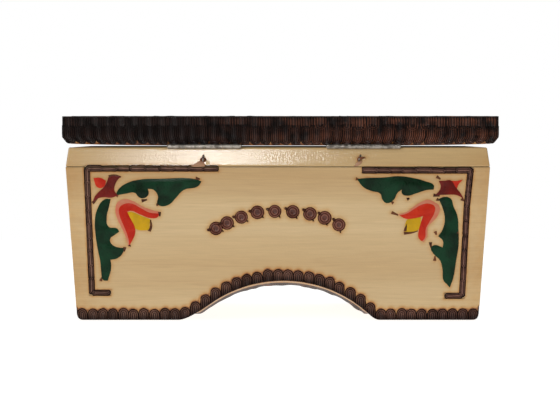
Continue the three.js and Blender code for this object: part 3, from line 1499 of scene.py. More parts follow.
class DecoratedFace:
    """One face of the box, with all that is burned and painted on it."""

    def __init__(self, name: str, face: Face, body: Body, seed: int) -> None:
        """Starts with bare wood.

        Args:
            name: The start of its pieces' names.
            face: Where it lies.
            body: The body that it rides on.
            seed: Chooses the run of unsteadiness.
        """
        self.name = name
        self.face = face
        self.body = body
        self.seed = seed
        self.pockets = Pockets(f"{name}_pockets", face)
        self.burned: list[bpy.types.Mesh] = []
        self.painted: dict[Colour, list[bpy.types.Mesh]] = {}
        self.drawn: list[bpy.types.Mesh] = []

    def add_scallops(self, half: float, edge: Callable[[float], float], flare: float) -> None:
        """Burns the row of arches along the lower edge."""
        band = ScallopBand(f"{self.name}_scallops", self.pockets, half, edge, self.seed, flare)
        self.burned.append(band.burn())

    def add_bar(self, label: str, line: Sequence[tuple[float, float]]) -> None:
        """Burns a bar of links."""
        seed = self.seed * 10 + len(self.burned)
        self.burned.append(BurnedBar(f"{self.name}_bar_{label}", self.pockets, line, seed).burn())

    def add_rings(
        self, centre: tuple[float, float], radii: tuple[float, float], angles: Sequence[float]
    ) -> None:
        """Burns rings along an arc, at angles in degrees from straight up."""
        rings = RingArc(f"{self.name}_rings", self.pockets, centre, radii, angles, self.seed)
        self.burned.append(rings.burn())

    def add_spray(self, spray: Spray, patch: Face) -> None:
        """Paints a spray, and warms the wood along its outlines.

        Args:
            spray: What to paint.
            patch: Where it goes.
        """
        for colour, outlines in spray.patches.items():
            mesh = enamel_patch("paint", patch, outlines, spray.lift(colour))
            self.painted.setdefault(colour, []).append(mesh)
            for outline in outlines:
                ends = zip(outline, outline[1:] + outline[:1])
                for (u0, v0), (u1, v1) in ends:
                    count = max(round(math.hypot(u1 - u0, v1 - v0)), 1)
                    for i in range(count):
                        t = i / count
                        point = patch.place(u0 + t * (u1 - u0), v0 + t * (v1 - v0))
                        burns_and_shade.add(Heat.LINE, [point])
        self.drawn.append(burned_strokes("stroke", patch, spray.strokes))
        for stroke in spray.strokes:
            burns_and_shade.add(Heat.LINE, [patch.place(u, v) for u, v in stroke])

    def dress(self, finishes: "Finishes") -> None:
        """Turns all of it into pieces.

        Args:
            finishes: What to dress them in.
        """
        for mesh in self.burned:
            finish = finishes.ringed if mesh.name.endswith("rings") else finishes.stamped
            add_piece(mesh.name, mesh, finish, self.body)
        for colour, meshes in self.painted.items():
            name = f"{self.name}_paint_{colour.name.lower()}"
            add_piece(name, joined(name, meshes), finishes.enamels[colour], self.body)
        if self.drawn:
            name = f"{self.name}_strokes"
            add_piece(name, joined(name, self.drawn), finishes.drawn, self.body)


@dataclass
class TornSpot:
    """Wood torn up round the tip of a crooked brad: a raised flake, a pale chip, and painted shade as
    a dark oval where the crater is.
    """

    name: str
    face: Face
    crater: Outline
    flake: Outline
    chip: Outline

    def warm(self) -> None:
        """Browns the wood round the tip."""
        burns_and_shade.add(Heat.LINE, [self.face.place(u, v) for u, v in self.crater])

    def painted_hole_shade(self) -> bpy.types.Mesh:
        """Painted shade of the crater: a dark oval, raised a little, that the tip stands in."""
        return enamel_patch(f"{self.name}_hole", self.face, [self.crater], 0.3, 0.5)

    def meshes(self) -> list[bpy.types.Mesh]:
        """Makes the torn wood.

        Returns:
            The flake and the chip.
        """
        flake = enamel_patch(f"{self.name}_flake", self.face, [self.flake], 0.12, 0.3)
        chip = enamel_patch(f"{self.name}_chip", self.face, [self.chip], 0.1, 0.22)
        return [flake, chip]


def glue_line(case: Case) -> bpy.types.Mesh:
    """Runs the glue that shows in the seam between the walls and the rim strips.

    Args:
        case: The case that it runs round.

    Returns:
        The glue's mesh.
    """
    back = case.walls["back"]
    seam_low, seam_high = back.top, case.rims["back"].face.foot.z
    half_x = back.half + back.flare * seam_low
    half_y = -back.face.place(0, seam_low).y / MM
    inset, wide = 0.1, 3.0
    bm = bmesh.new()
    rings = []
    for sign_x, sign_y in ((-1, -1), (1, -1), (1, 1), (-1, 1)):
        ring = []
        for step, z in ((inset, seam_low), (inset, seam_high), (wide, seam_high), (wide, seam_low)):
            x = case.shift + sign_x * (half_x - step)
            ring.append(bm.verts.new(Vector((x, sign_y * (half_y - step), z)) * MM))
        rings.append(ring)
    for i, ring in enumerate(rings):
        following = rings[(i + 1) % 4]
        for j in range(4):
            k = (j + 1) % 4
            bm.faces.new((ring[j], ring[k], following[k], following[j]))
    return as_mesh("glue_line", bm)


# ------------------------------------------------------------------ finishes


def set_out(tree: bpy.types.NodeTree, groups: dict[str, Sequence[bpy.types.Node]]) -> None:
    """Frames each group of nodes and sets them out in columns, from left to right.

    Args:
        tree: The nodes' tree.
        groups: The nodes of each frame, by its title.
    """
    column_width, row_height, stagger = 240, 260, 110
    column = 0
    for title, members in groups.items():
        frame_node = tree.nodes.new("NodeFrame")
        frame_node.label = title
        for i, node in enumerate(members):
            node.parent = frame_node
            node.location = (column * column_width + stagger * (i % 2), -row_height * i)
        column += 2


@dataclass(frozen=True)
class WoodFinish:
    """Pale varnished wood. Colours are linear, and grain gives repeats per metre along X, Y, Z."""

    pale: tuple[float, float, float] = (0.60, 0.432, 0.225)
    dark: tuple[float, float, float] = (0.50, 0.325, 0.145)
    streak: tuple[float, float, float] = (0.36, 0.20, 0.075)
    grain: tuple[float, float, float] = (5.0, 120.0, 120.0)
    coat: float = 0.3
    coat_roughness: float = 0.16
    seed: float = 0.0


def wood_material(name: str, finish: WoodFinish) -> bpy.types.Material:
    """Makes pale varnished wood, browned where the attribute of scorch and painted shade says so.

    Args:
        name: The material's name.
        finish: Its colours, grain and varnish.

    Returns:
        The material.
    """
    material = bpy.data.materials.new(name)
    material.use_nodes = True
    tree = material.node_tree
    nodes, links = tree.nodes, tree.links
    nodes.clear()

    place = nodes.new("ShaderNodeTexCoord")
    place.label = "Where on the board"
    board = nodes.new("ShaderNodeMapping")
    board.label = "Stretch along the grain"
    board.inputs["Location"].default_value = (finish.seed, finish.seed * 1.7, finish.seed * 0.6)
    board.inputs["Scale"].default_value = finish.grain
    links.new(place.outputs["Object"], board.inputs["Vector"])

    tone = nodes.new("ShaderNodeTexNoise")
    tone.label = "Broad change of tone"
    tone.inputs["Scale"].default_value = 0.28
    tone.inputs["Detail"].default_value = 2.0
    tone.inputs["Roughness"].default_value = 0.55
    rings = nodes.new("ShaderNodeTexNoise")
    rings.label = "Year rings"
    rings.inputs["Scale"].default_value = 1.15
    rings.inputs["Detail"].default_value = 3.0
    rings.inputs["Distortion"].default_value = 0.4
    fibres = nodes.new("ShaderNodeTexNoise")
    fibres.label = "Fine fibres"
    fibres.inputs["Scale"].default_value = 14.0
    fibres.inputs["Detail"].default_value = 4.0
    fibres.inputs["Roughness"].default_value = 0.65
    for texture in (tone, rings, fibres):
        links.new(board.outputs["Vector"], texture.inputs["Vector"])

    tone_colour = nodes.new("ShaderNodeMix")
    tone_colour.label = "Pale to honey"
    tone_colour.data_type = "RGBA"
    tone_colour.inputs["A"].default_value = (*finish.dark, 1)
    tone_colour.inputs["B"].default_value = (*finish.pale, 1)
    tone_range = nodes.new("ShaderNodeMapRange")
    tone_range.label = "Spread of the tone"
    tone_range.inputs["From Min"].default_value = 0.32
    tone_range.inputs["From Max"].default_value = 0.62
    links.new(tone.outputs["Fac"], tone_range.inputs["Value"])
    links.new(tone_range.outputs["Result"], tone_colour.inputs["Factor"])
    ring_lines = nodes.new("ShaderNodeValToRGB")
    ring_lines.label = "Thin late-wood lines"
    late = ring_lines.color_ramp.elements
    late[0].position = 0.47
    late[0].color = (0, 0, 0, 1)
    late[1].position = 0.5
    late[1].color = (0.12, 0.12, 0.12, 1)
    late.new(0.53).color = (0, 0, 0, 1)
    late.new(0.62).color = (0.05, 0.05, 0.05, 1)
    late.new(0.66).color = (0, 0, 0, 1)
    links.new(rings.outputs["Fac"], ring_lines.inputs["Fac"])
    ringed = nodes.new("ShaderNodeMix")
    ringed.label = "Lay the lines in"
    ringed.data_type = "RGBA"
    ringed.inputs["B"].default_value = (*finish.streak, 1)
    links.new(ring_lines.outputs["Color"], ringed.inputs["Factor"])
    links.new(tone_colour.outputs["Result"], ringed.inputs["A"])
    fibre_tone = nodes.new("ShaderNodeMapRange")
    fibre_tone.label = "Fibre contrast"
    fibre_tone.inputs["From Min"].default_value = 0.3
    fibre_tone.inputs["From Max"].default_value = 0.7
    fibre_tone.inputs["To Min"].default_value = 0.93
    fibre_tone.inputs["To Max"].default_value = 1.05
    links.new(fibres.outputs["Fac"], fibre_tone.inputs["Value"])
    fibred = nodes.new("ShaderNodeVectorMath")
    fibred.label = "Lay the fibres in"
    fibred.operation = "SCALE"
    links.new(ringed.outputs["Result"], fibred.inputs[0])
    links.new(fibre_tone.outputs["Result"], fibred.inputs["Scale"])

    # This attribute holds the burning, the painted shade under the arches and the darker ends of the
    # boards.
    scorch_and_shade = nodes.new("ShaderNodeAttribute")
    scorch_and_shade.label = "How scorched"
    scorch_and_shade.attribute_name = "scorch_and_shade"
    smoke = nodes.new("ShaderNodeTexNoise")
    smoke.label = "Uneven heat"
    smoke.inputs["Scale"].default_value = 420.0
    smoke.inputs["Detail"].default_value = 3.0
    links.new(place.outputs["Object"], smoke.inputs["Vector"])
    uneven = nodes.new("ShaderNodeMapRange")
    uneven.label = "Heat from patchy to full"
    uneven.inputs["From Min"].default_value = 0.3
    uneven.inputs["From Max"].default_value = 0.7
    uneven.inputs["To Min"].default_value = 0.72
    uneven.inputs["To Max"].default_value = 1.22
    links.new(smoke.outputs["Fac"], uneven.inputs["Value"])
    heat = nodes.new("ShaderNodeMath")
    heat.label = "Heat that reached the wood"
    heat.operation = "MULTIPLY"
    links.new(scorch_and_shade.outputs["Fac"], heat.inputs[0])
    links.new(uneven.outputs["Result"], heat.inputs[1])
    browning = nodes.new("ShaderNodeValToRGB")
    browning.label = "Amber, brown, char"
    brown = browning.color_ramp.elements
    brown[0].position = 0.0
    brown[0].color = (1, 1, 1, 1)
    brown[1].position = 0.22
    brown[1].color = (0.94, 0.82, 0.66, 1)
    brown.new(0.44).color = (0.84, 0.57, 0.32, 1)
    brown.new(0.65).color = (0.36, 0.15, 0.06, 1)
    brown.new(0.9).color = (0.05, 0.022, 0.016, 1)
    links.new(heat.outputs["Value"], browning.inputs["Fac"])
    browned = nodes.new("ShaderNodeMix")
    browned.label = "Brown the wood"
    browned.data_type = "RGBA"
    browned.blend_type = "MULTIPLY"
    browned.inputs["Factor"].default_value = 1.0
    links.new(fibred.outputs["Vector"], browned.inputs["A"])
    links.new(browning.outputs["Color"], browned.inputs["B"])

    brushed = nodes.new("ShaderNodeTexNoise")
    brushed.label = "Ripples in the varnish"
    brushed.inputs["Scale"].default_value = 950.0
    brushed.inputs["Detail"].default_value = 2.0
    links.new(place.outputs["Object"], brushed.inputs["Vector"])
    fibre_bump = nodes.new("ShaderNodeBump")
    fibre_bump.label = "Raised fibres"
    fibre_bump.inputs["Strength"].default_value = 0.25
    fibre_bump.inputs["Distance"].default_value = 0.00006
    links.new(fibres.outputs["Fac"], fibre_bump.inputs["Height"])
    varnish_bump = nodes.new("ShaderNodeBump")
    varnish_bump.label = "Uneven varnish"
    varnish_bump.inputs["Strength"].default_value = 0.5
    varnish_bump.inputs["Distance"].default_value = 0.00009
    links.new(brushed.outputs["Fac"], varnish_bump.inputs["Height"])
    links.new(fibre_bump.outputs["Normal"], varnish_bump.inputs["Normal"])
    shader = nodes.new("ShaderNodeBsdfPrincipled")
    shader.label = "Varnished wood"
    shader.inputs["Specular IOR Level"].default_value = 0.3
    shader.inputs["Roughness"].default_value = 0.5
    shader.inputs["Coat Weight"].default_value = finish.coat
    shader.inputs["Coat Roughness"].default_value = finish.coat_roughness
    links.new(browned.outputs["Result"], shader.inputs["Base Color"])
    links.new(varnish_bump.outputs["Normal"], shader.inputs["Normal"])
    links.new(varnish_bump.outputs["Normal"], shader.inputs["Coat Normal"])
    output = nodes.new("ShaderNodeOutputMaterial")
    output.label = "Board"
    links.new(shader.outputs["BSDF"], output.inputs["Surface"])
    set_out(
        tree,
        {
            "Place": (place, board),
            "Grain": (tone, rings, fibres),
            "Wood colour": (tone_range, tone_colour, ring_lines, ringed, fibre_tone, fibred),
            "Scorching": (scorch_and_shade, smoke, uneven, heat, browning, browned),
            "Surface": (brushed, fibre_bump, varnish_bump),
            "Result": (shader, output),
        },
    )
    return material


@dataclass(frozen=True)
class BurnFinish:
    """Wood burned by a stamp. Colours are linear.

    The ridges go from one colour to the other along X, between the two places of fade, in metres.
    """

    groove: tuple[float, float, float] = (0.011, 0.005, 0.004)
    ridge: tuple[float, float, float] = (0.25, 0.125, 0.085)
    other_ridge: tuple[float, float, float] = (0.25, 0.115, 0.08)
    fade: tuple[float, float] = (-0.05, 0.08)
    soot: float = 0.4
    coat: float = 0.25
    coat_roughness: float = 0.2


def burned_material(name: str, finish: BurnFinish) -> bpy.types.Material:
    """Makes charred grooves with browner ridges, from the crest attribute.

    Args:
        name: The material's name.
        finish: Its colours and varnish.

    Returns:
        The material.
    """
    material = bpy.data.materials.new(name)
    material.use_nodes = True
    tree = material.node_tree
    nodes, links = tree.nodes, tree.links
    nodes.clear()

    place = nodes.new("ShaderNodeTexCoord")
    place.label = "Where on the box"
    soot = nodes.new("ShaderNodeTexNoise")
    soot.label = "Patches of soot"
    soot.inputs["Scale"].default_value = 160.0
    soot.inputs["Detail"].default_value = 4.0
    soot.inputs["Roughness"].default_value = 0.6
    grit = nodes.new("ShaderNodeTexNoise")
    grit.label = "Grit of the char"
    grit.inputs["Scale"].default_value = 1100.0
    grit.inputs["Detail"].default_value = 3.0
    for texture in (soot, grit):
        links.new(place.outputs["Object"], texture.inputs["Vector"])

    crest = nodes.new("ShaderNodeAttribute")
    crest.label = "Height in the stamp"
    crest.attribute_name = "crest"
    patchy = nodes.new("ShaderNodeMapRange")
    patchy.label = "Soot on the ridges"
    patchy.inputs["From Min"].default_value = 0.36
    patchy.inputs["From Max"].default_value = 0.66
    patchy.inputs["To Min"].default_value = finish.soot
    patchy.inputs["To Max"].default_value = 1.0
    links.new(soot.outputs["Fac"], patchy.inputs["Value"])
    bare = nodes.new("ShaderNodeMath")
    bare.label = "Bare ridge"
    bare.operation = "MULTIPLY"
    links.new(crest.outputs["Fac"], bare.inputs[0])
    links.new(patchy.outputs["Result"], bare.inputs[1])

    axes = nodes.new("ShaderNodeSeparateXYZ")
    axes.label = "Distance along the box"
    links.new(place.outputs["Object"], axes.inputs["Vector"])
    along = nodes.new("ShaderNodeMapRange")
    along.label = "From one end to the other"
    along.inputs["From Min"].default_value = finish.fade[0]
    along.inputs["From Max"].default_value = finish.fade[1]
    links.new(axes.outputs["X"], along.inputs["Value"])
    ridge = nodes.new("ShaderNodeMix")
    ridge.label = "Colour of the ridges"
    ridge.data_type = "RGBA"
    ridge.inputs["A"].default_value = (*finish.ridge, 1)
    ridge.inputs["B"].default_value = (*finish.other_ridge, 1)
    links.new(along.outputs["Result"], ridge.inputs["Factor"])
    colour = nodes.new("ShaderNodeMix")
    colour.label = "Char to ridge"
    colour.data_type = "RGBA"
    colour.inputs["A"].default_value = (*finish.groove, 1)
    links.new(bare.outputs["Value"], colour.inputs["Factor"])
    links.new(ridge.outputs["Result"], colour.inputs["B"])

    gloss = nodes.new("ShaderNodeMapRange")
    gloss.label = "Dull and glossy spots"
    gloss.inputs["From Min"].default_value = 0.35
    gloss.inputs["From Max"].default_value = 0.65
    gloss.inputs["To Min"].default_value = 0.3
    gloss.inputs["To Max"].default_value = 0.6
    links.new(soot.outputs["Fac"], gloss.inputs["Value"])
    rough = nodes.new("ShaderNodeBump")
    rough.label = "Crazed char"
    rough.inputs["Strength"].default_value = 0.6
    rough.inputs["Distance"].default_value = 0.0002
    links.new(grit.outputs["Fac"], rough.inputs["Height"])
    shader = nodes.new("ShaderNodeBsdfPrincipled")
    shader.label = "Burned wood"
    shader.inputs["Specular IOR Level"].default_value = 0.1
    shader.inputs["Coat Weight"].default_value = finish.coat
    shader.inputs["Coat Roughness"].default_value = finish.coat_roughness
    links.new(colour.outputs["Result"], shader.inputs["Base Color"])
    links.new(gloss.outputs["Result"], shader.inputs["Roughness"])
    links.new(rough.outputs["Normal"], shader.inputs["Normal"])
    links.new(rough.outputs["Normal"], shader.inputs["Coat Normal"])
    output = nodes.new("ShaderNodeOutputMaterial")
    output.label = "Burned work"
    links.new(shader.outputs["BSDF"], output.inputs["Surface"])
    set_out(
        tree,
        {
            "Place": (place, axes),
            "Texture": (soot, grit, crest),
            "Colour": (patchy, bare, along, ridge, colour),
            "Surface": (gloss, rough),
            "Result": (shader, output),
        },
    )
    return material


@dataclass(frozen=True)
class FilmFinish:
    """A film over the wood, such as enamel or glue: two linear tones, and how they mix."""

    tone: tuple[float, float, float]
    other: tuple[float, float, float]
    patch_scale: float = 130.0
    roughness: float = 0.32
    coat: float = 0.07
    metallic: float = 0.0
    relief: float = 0.00008


def film_material(name: str, finish: FilmFinish) -> bpy.types.Material:
    """Makes a film that drifts between two tones, with brush marks in its surface.

    Args:
        name: The material's name.
        finish: Its tones and its surface.

    Returns:
        The material.
    """
    material = bpy.data.materials.new(name)
    material.use_nodes = True
    tree = material.node_tree
    nodes, links = tree.nodes, tree.links
    nodes.clear()

    place = nodes.new("ShaderNodeTexCoord")
    place.label = "Where on the box"
    drift = nodes.new("ShaderNodeTexNoise")
    drift.label = "Thick and thin"
    drift.inputs["Scale"].default_value = finish.patch_scale
    drift.inputs["Detail"].default_value = 3.0
    drift.inputs["Distortion"].default_value = 0.5
    marks = nodes.new("ShaderNodeTexNoise")
    marks.label = "Small marks"
    marks.inputs["Scale"].default_value = finish.patch_scale * 9
    marks.inputs["Detail"].default_value = 2.0
    for texture in (drift, marks):
        links.new(place.outputs["Object"], texture.inputs["Vector"])
    spread = nodes.new("ShaderNodeMapRange")
    spread.label = "Spread of the two tones"
    spread.inputs["From Min"].default_value = 0.38
    spread.inputs["From Max"].default_value = 0.64
    links.new(drift.outputs["Fac"], spread.inputs["Value"])
    colour = nodes.new("ShaderNodeMix")
    colour.label = "Two tones"
    colour.data_type = "RGBA"
    colour.inputs["A"].default_value = (*finish.tone, 1)
    colour.inputs["B"].default_value = (*finish.other, 1)
    links.new(spread.outputs["Result"], colour.inputs["Factor"])
    worn = nodes.new("ShaderNodeMapRange")
    worn.label = "Worn and fresh"
    worn.inputs["From Min"].default_value = 0.35
    worn.inputs["From Max"].default_value = 0.65
    worn.inputs["To Min"].default_value = finish.roughness * 0.8
    worn.inputs["To Max"].default_value = finish.roughness * 1.35
    links.new(marks.outputs["Fac"], worn.inputs["Value"])
    relief = nodes.new("ShaderNodeBump")
    relief.label = "Uneven film"
    relief.inputs["Strength"].default_value = 0.5
    relief.inputs["Distance"].default_value = finish.relief
    links.new(marks.outputs["Fac"], relief.inputs["Height"])
    shader = nodes.new("ShaderNodeBsdfPrincipled")
    shader.label = "Film"
    shader.inputs["Specular IOR Level"].default_value = 0.1
    shader.inputs["Metallic"].default_value = finish.metallic
    shader.inputs["Coat Weight"].default_value = finish.coat
    shader.inputs["Coat Roughness"].default_value = 0.15
    links.new(colour.outputs["Result"], shader.inputs["Base Color"])
    links.new(worn.outputs["Result"], shader.inputs["Roughness"])
    links.new(relief.outputs["Normal"], shader.inputs["Normal"])
    output = nodes.new("ShaderNodeOutputMaterial")
    output.label = "Film on the box"
    links.new(shader.outputs["BSDF"], output.inputs["Surface"])
    set_out(
        tree,
        {
            "Place": (place,),
            "Texture": (drift, marks),
            "Colour": (spread, colour),
            "Surface": (worn, relief),
            "Result": (shader, output),
        },
    )
    return material


class Finishes:
    """Every finish of the box, made once."""

    def __init__(self) -> None:
        """Makes the materials."""
        along_x, along_y = (5.0, 120.0, 120.0), (120.0, 5.0, 120.0)
        self.long_wall = wood_material("long_wall_wood", WoodFinish(grain=along_x, seed=0.3))
        self.short_wall = wood_material("short_wall_wood", WoodFinish(grain=along_y, seed=1.1))
        honey = {
            "pale": (0.56, 0.385, 0.175),
            "dark": (0.46, 0.285, 0.115),
            "coat": 0.7,
            "coat_roughness": 0.11,
        }
        self.long_rim = wood_material("long_rim_wood", WoodFinish(grain=along_x, seed=2.3, **honey))
        self.short_rim = wood_material("short_rim_wood", WoodFinish(grain=along_y, seed=3.2, **honey))
        self.floor = wood_material("floor_board_wood", WoodFinish(grain=along_x, seed=4.4, coat=0.1))
        self.lid = wood_material("lid_wood", WoodFinish(grain=along_x, seed=5.7))
        self.torn = wood_material(
            "torn_wood",
            WoodFinish(
                pale=(0.42, 0.23, 0.13),
                dark=(0.3, 0.15, 0.08),
                grain=(300.0, 300.0, 900.0),
                coat=0.0,
            ),
        )
        self.stamped = burned_material("stamped_wood", BurnFinish())
        self.lid_edge = burned_material(
            "lid_edge_wood",
            BurnFinish(
                groove=(0.006, 0.0035, 0.003),
                ridge=(0.03, 0.012, 0.008),
                other_ridge=(0.19, 0.062, 0.032),
                soot=0.02,
                fade=(-0.045, 0.05),
            ),
        )
        self.ringed = burned_material(
            "ring_wood",
            BurnFinish(
                groove=(0.045, 0.009, 0.005),
                ridge=(0.32, 0.125, 0.08),
                other_ridge=(0.32, 0.125, 0.08),
                coat=0.4,
            ),
        )
        self.drawn = film_material(
            "pen_burn", FilmFinish((0.04, 0.013, 0.006), (0.16, 0.055, 0.022), roughness=0.5)
        )
        self.enamels = {
            colour: film_material(f"enamel_{colour.name.lower()}", FilmFinish(*colour.value))
            for colour in Colour
        }
        self.glue = film_material("glue", FilmFinish((0.045, 0.04, 0.012), (0.16, 0.13, 0.05), 60.0))
        self.plate = film_material(
            "leaf_plate",
            FilmFinish((0.34, 0.31, 0.27), (0.12, 0.105, 0.09), 420.0, 0.34, 0.0, 1.0, 0.00004),
        )
        self.steel = film_material(
            "pin_and_brad_steel",
            FilmFinish((0.30, 0.27, 0.23), (0.13, 0.1, 0.08), 500.0, 0.42, 0.0, 1.0, 0.00003),
        )


# ------------------------------------------------------------------ studio


@dataclass
class Studio:
    """The camera, the soft lights and the pale floor."""

    camera_at: Vector = field(default_factory=lambda: Vector((0.0, -1.0615, 0.080)))
    aim: Vector = field(default_factory=lambda: Vector((-0.0002, -0.0615, 0.0520)))
    view_width: float = 0.2570
    floor_half: float = 0.8
    floor_drop: float = 0.0002

    # Each light's name, place, size in metres and power in watts.
    LIGHTS = (
        ("key", (-0.75, -1.1, 0.75), 0.9, 7.7),
        ("fill", (0.9, -0.7, 0.5), 0.9, 0.3),
        ("overhead", (0.1, 0.3, 1.3), 1.2, 6.0),
        ("far_side", (0.5, 1.3, 0.7), 0.9, 4.5),
        ("glint", (-0.07, -1.26, 0.43), 0.1, 1.5),
    )

    def place_camera(self) -> None:
        """Stands the camera on the hinge side, a little above the box's middle."""
        camera = bpy.data.cameras.new("camera")
        distance = (self.aim - self.camera_at).length
        camera.lens = camera.sensor_width * distance / self.view_width
        camera.clip_start = 0.01
        holder = bpy.data.objects.new("camera", camera)
        holder.location = self.camera_at
        holder.rotation_euler = (self.aim - self.camera_at).to_track_quat("-Z", "Y").to_euler()
        show(holder)
        bpy.context.scene.camera = holder

    def hang_light(
        self, name: str, at: Vector, towards: Vector, size: float, power: float
    ) -> None:
        """Hangs one soft light.

        Args:
            name: Its name.
            at: Where it hangs.
            towards: What it lights.
            size: Its side, in metres.
            power: Its power, in watts.
        """
        light = bpy.data.lights.new(name, "AREA")
        light.size = size
        light.energy = power
        holder = bpy.data.objects.new(name, light)
        holder.location = at
        holder.rotation_euler = (towards - at).to_track_quat("-Z", "Y").to_euler()
        show(holder)

    def lay_floor(self) -> None:
        """Lays the pale floor, just under the feet."""
        bm = bmesh.new()
        bmesh.ops.create_grid(bm, x_segments=4, y_segments=4, size=self.floor_half)
        mesh = as_mesh("studio_floor", bm)
        material = bpy.data.materials.new("studio_floor")
        material.use_nodes = True
        nodes, links = material.node_tree.nodes, material.node_tree.links
        nodes.clear()
        place = nodes.new("ShaderNodeTexCoord")
        place.label = "Where on the floor"
        cloud = nodes.new("ShaderNodeTexNoise")
        cloud.label = "Faint unevenness"
        cloud.inputs["Scale"].default_value = 6.0
        links.new(place.outputs["Object"], cloud.inputs["Vector"])
        tone = nodes.new("ShaderNodeMix")
        tone.label = "Near white"
        tone.data_type = "RGBA"
        tone.inputs["A"].default_value = (0.36, 0.36, 0.36, 1)
        tone.inputs["B"].default_value = (0.42, 0.42, 0.42, 1)
        links.new(cloud.outputs["Fac"], tone.inputs["Factor"])
        shader = nodes.new("ShaderNodeBsdfPrincipled")
        shader.label = "Lit paper"
        shader.inputs["Roughness"].default_value = 0.9
        shader.inputs["Emission Color"].default_value = (1, 1, 1, 1)
        shader.inputs["Emission Strength"].default_value = 0.86
        links.new(tone.outputs["Result"], shader.inputs["Base Color"])
        output = nodes.new("ShaderNodeOutputMaterial")
        output.label = "Floor"
        links.new(shader.outputs["BSDF"], output.inputs["Surface"])
        set_out(
            material.node_tree,
            {"Tone": (place, cloud, tone), "Result": (shader, output)},
        )
        floor = bpy.data.objects.new("studio_floor", mesh)
        mesh.materials.append(material)
        mesh.transform(Matrix.Translation((0, 0, -self.floor_drop)))
        show(floor)

    def light_the_room(self) -> None:
        """A white backdrop that lights the box only softly, and the lights."""
        world = bpy.data.worlds.new("studio")
        world.use_nodes = True
        nodes, links = world.node_tree.nodes, world.node_tree.links
        nodes.clear()
        path = nodes.new("ShaderNodeLightPath")
        path.label = "Seen or lighting"
        room = nodes.new("ShaderNodeBackground")
        room.label = "Dim room"
        room.inputs["Strength"].default_value = 0.16
        paper = nodes.new("ShaderNodeBackground")
        paper.label = "White paper"
        paper.inputs["Strength"].default_value = 1.0
        paper.inputs["Color"].default_value = (1, 1, 1, 1)
        room.inputs["Color"].default_value = (1, 0.98, 0.95, 1)
        either = nodes.new("ShaderNodeMixShader")
        either.label = "Paper behind, room around"
        links.new(path.outputs["Is Camera Ray"], either.inputs["Fac"])
        links.new(room.outputs["Background"], either.inputs[1])
        links.new(paper.outputs["Background"], either.inputs[2])
        output = nodes.new("ShaderNodeOutputWorld")
        output.label = "Studio"
        links.new(either.outputs["Shader"], output.inputs["Surface"])
        set_out(world.node_tree, {"Room": (path, room, paper), "Result": (either, output)})
        bpy.context.scene.world = world
        bpy.context.scene.view_settings.view_transform = "Standard"
        box = Vector((0, 0, 0.05))
        for name, at, size, power in self.LIGHTS:
            self.hang_light(name, Vector(at), box, size, power)


# ------------------------------------------------------------------ the box


def bars_of_long_wall() -> dict[str, tuple[tuple[float, float], ...]]:
    """The two bent bars that frame a long wall's sprays."""
    return {
        "left": ((-77.2, 12.6), (-85.6, 12.6), (-87.6, 69.9), (-27.5, 69.9)),
        "right": ((39, 69), (88.4, 69), (86.8, 52.7), (84.9, 11.2), (77, 11.2)),
    }


RING_ANGLES = (-30.5, -24.9, -17.9, -10.5, -2.7, 5.3, 13.0, 19.9, 26.8)


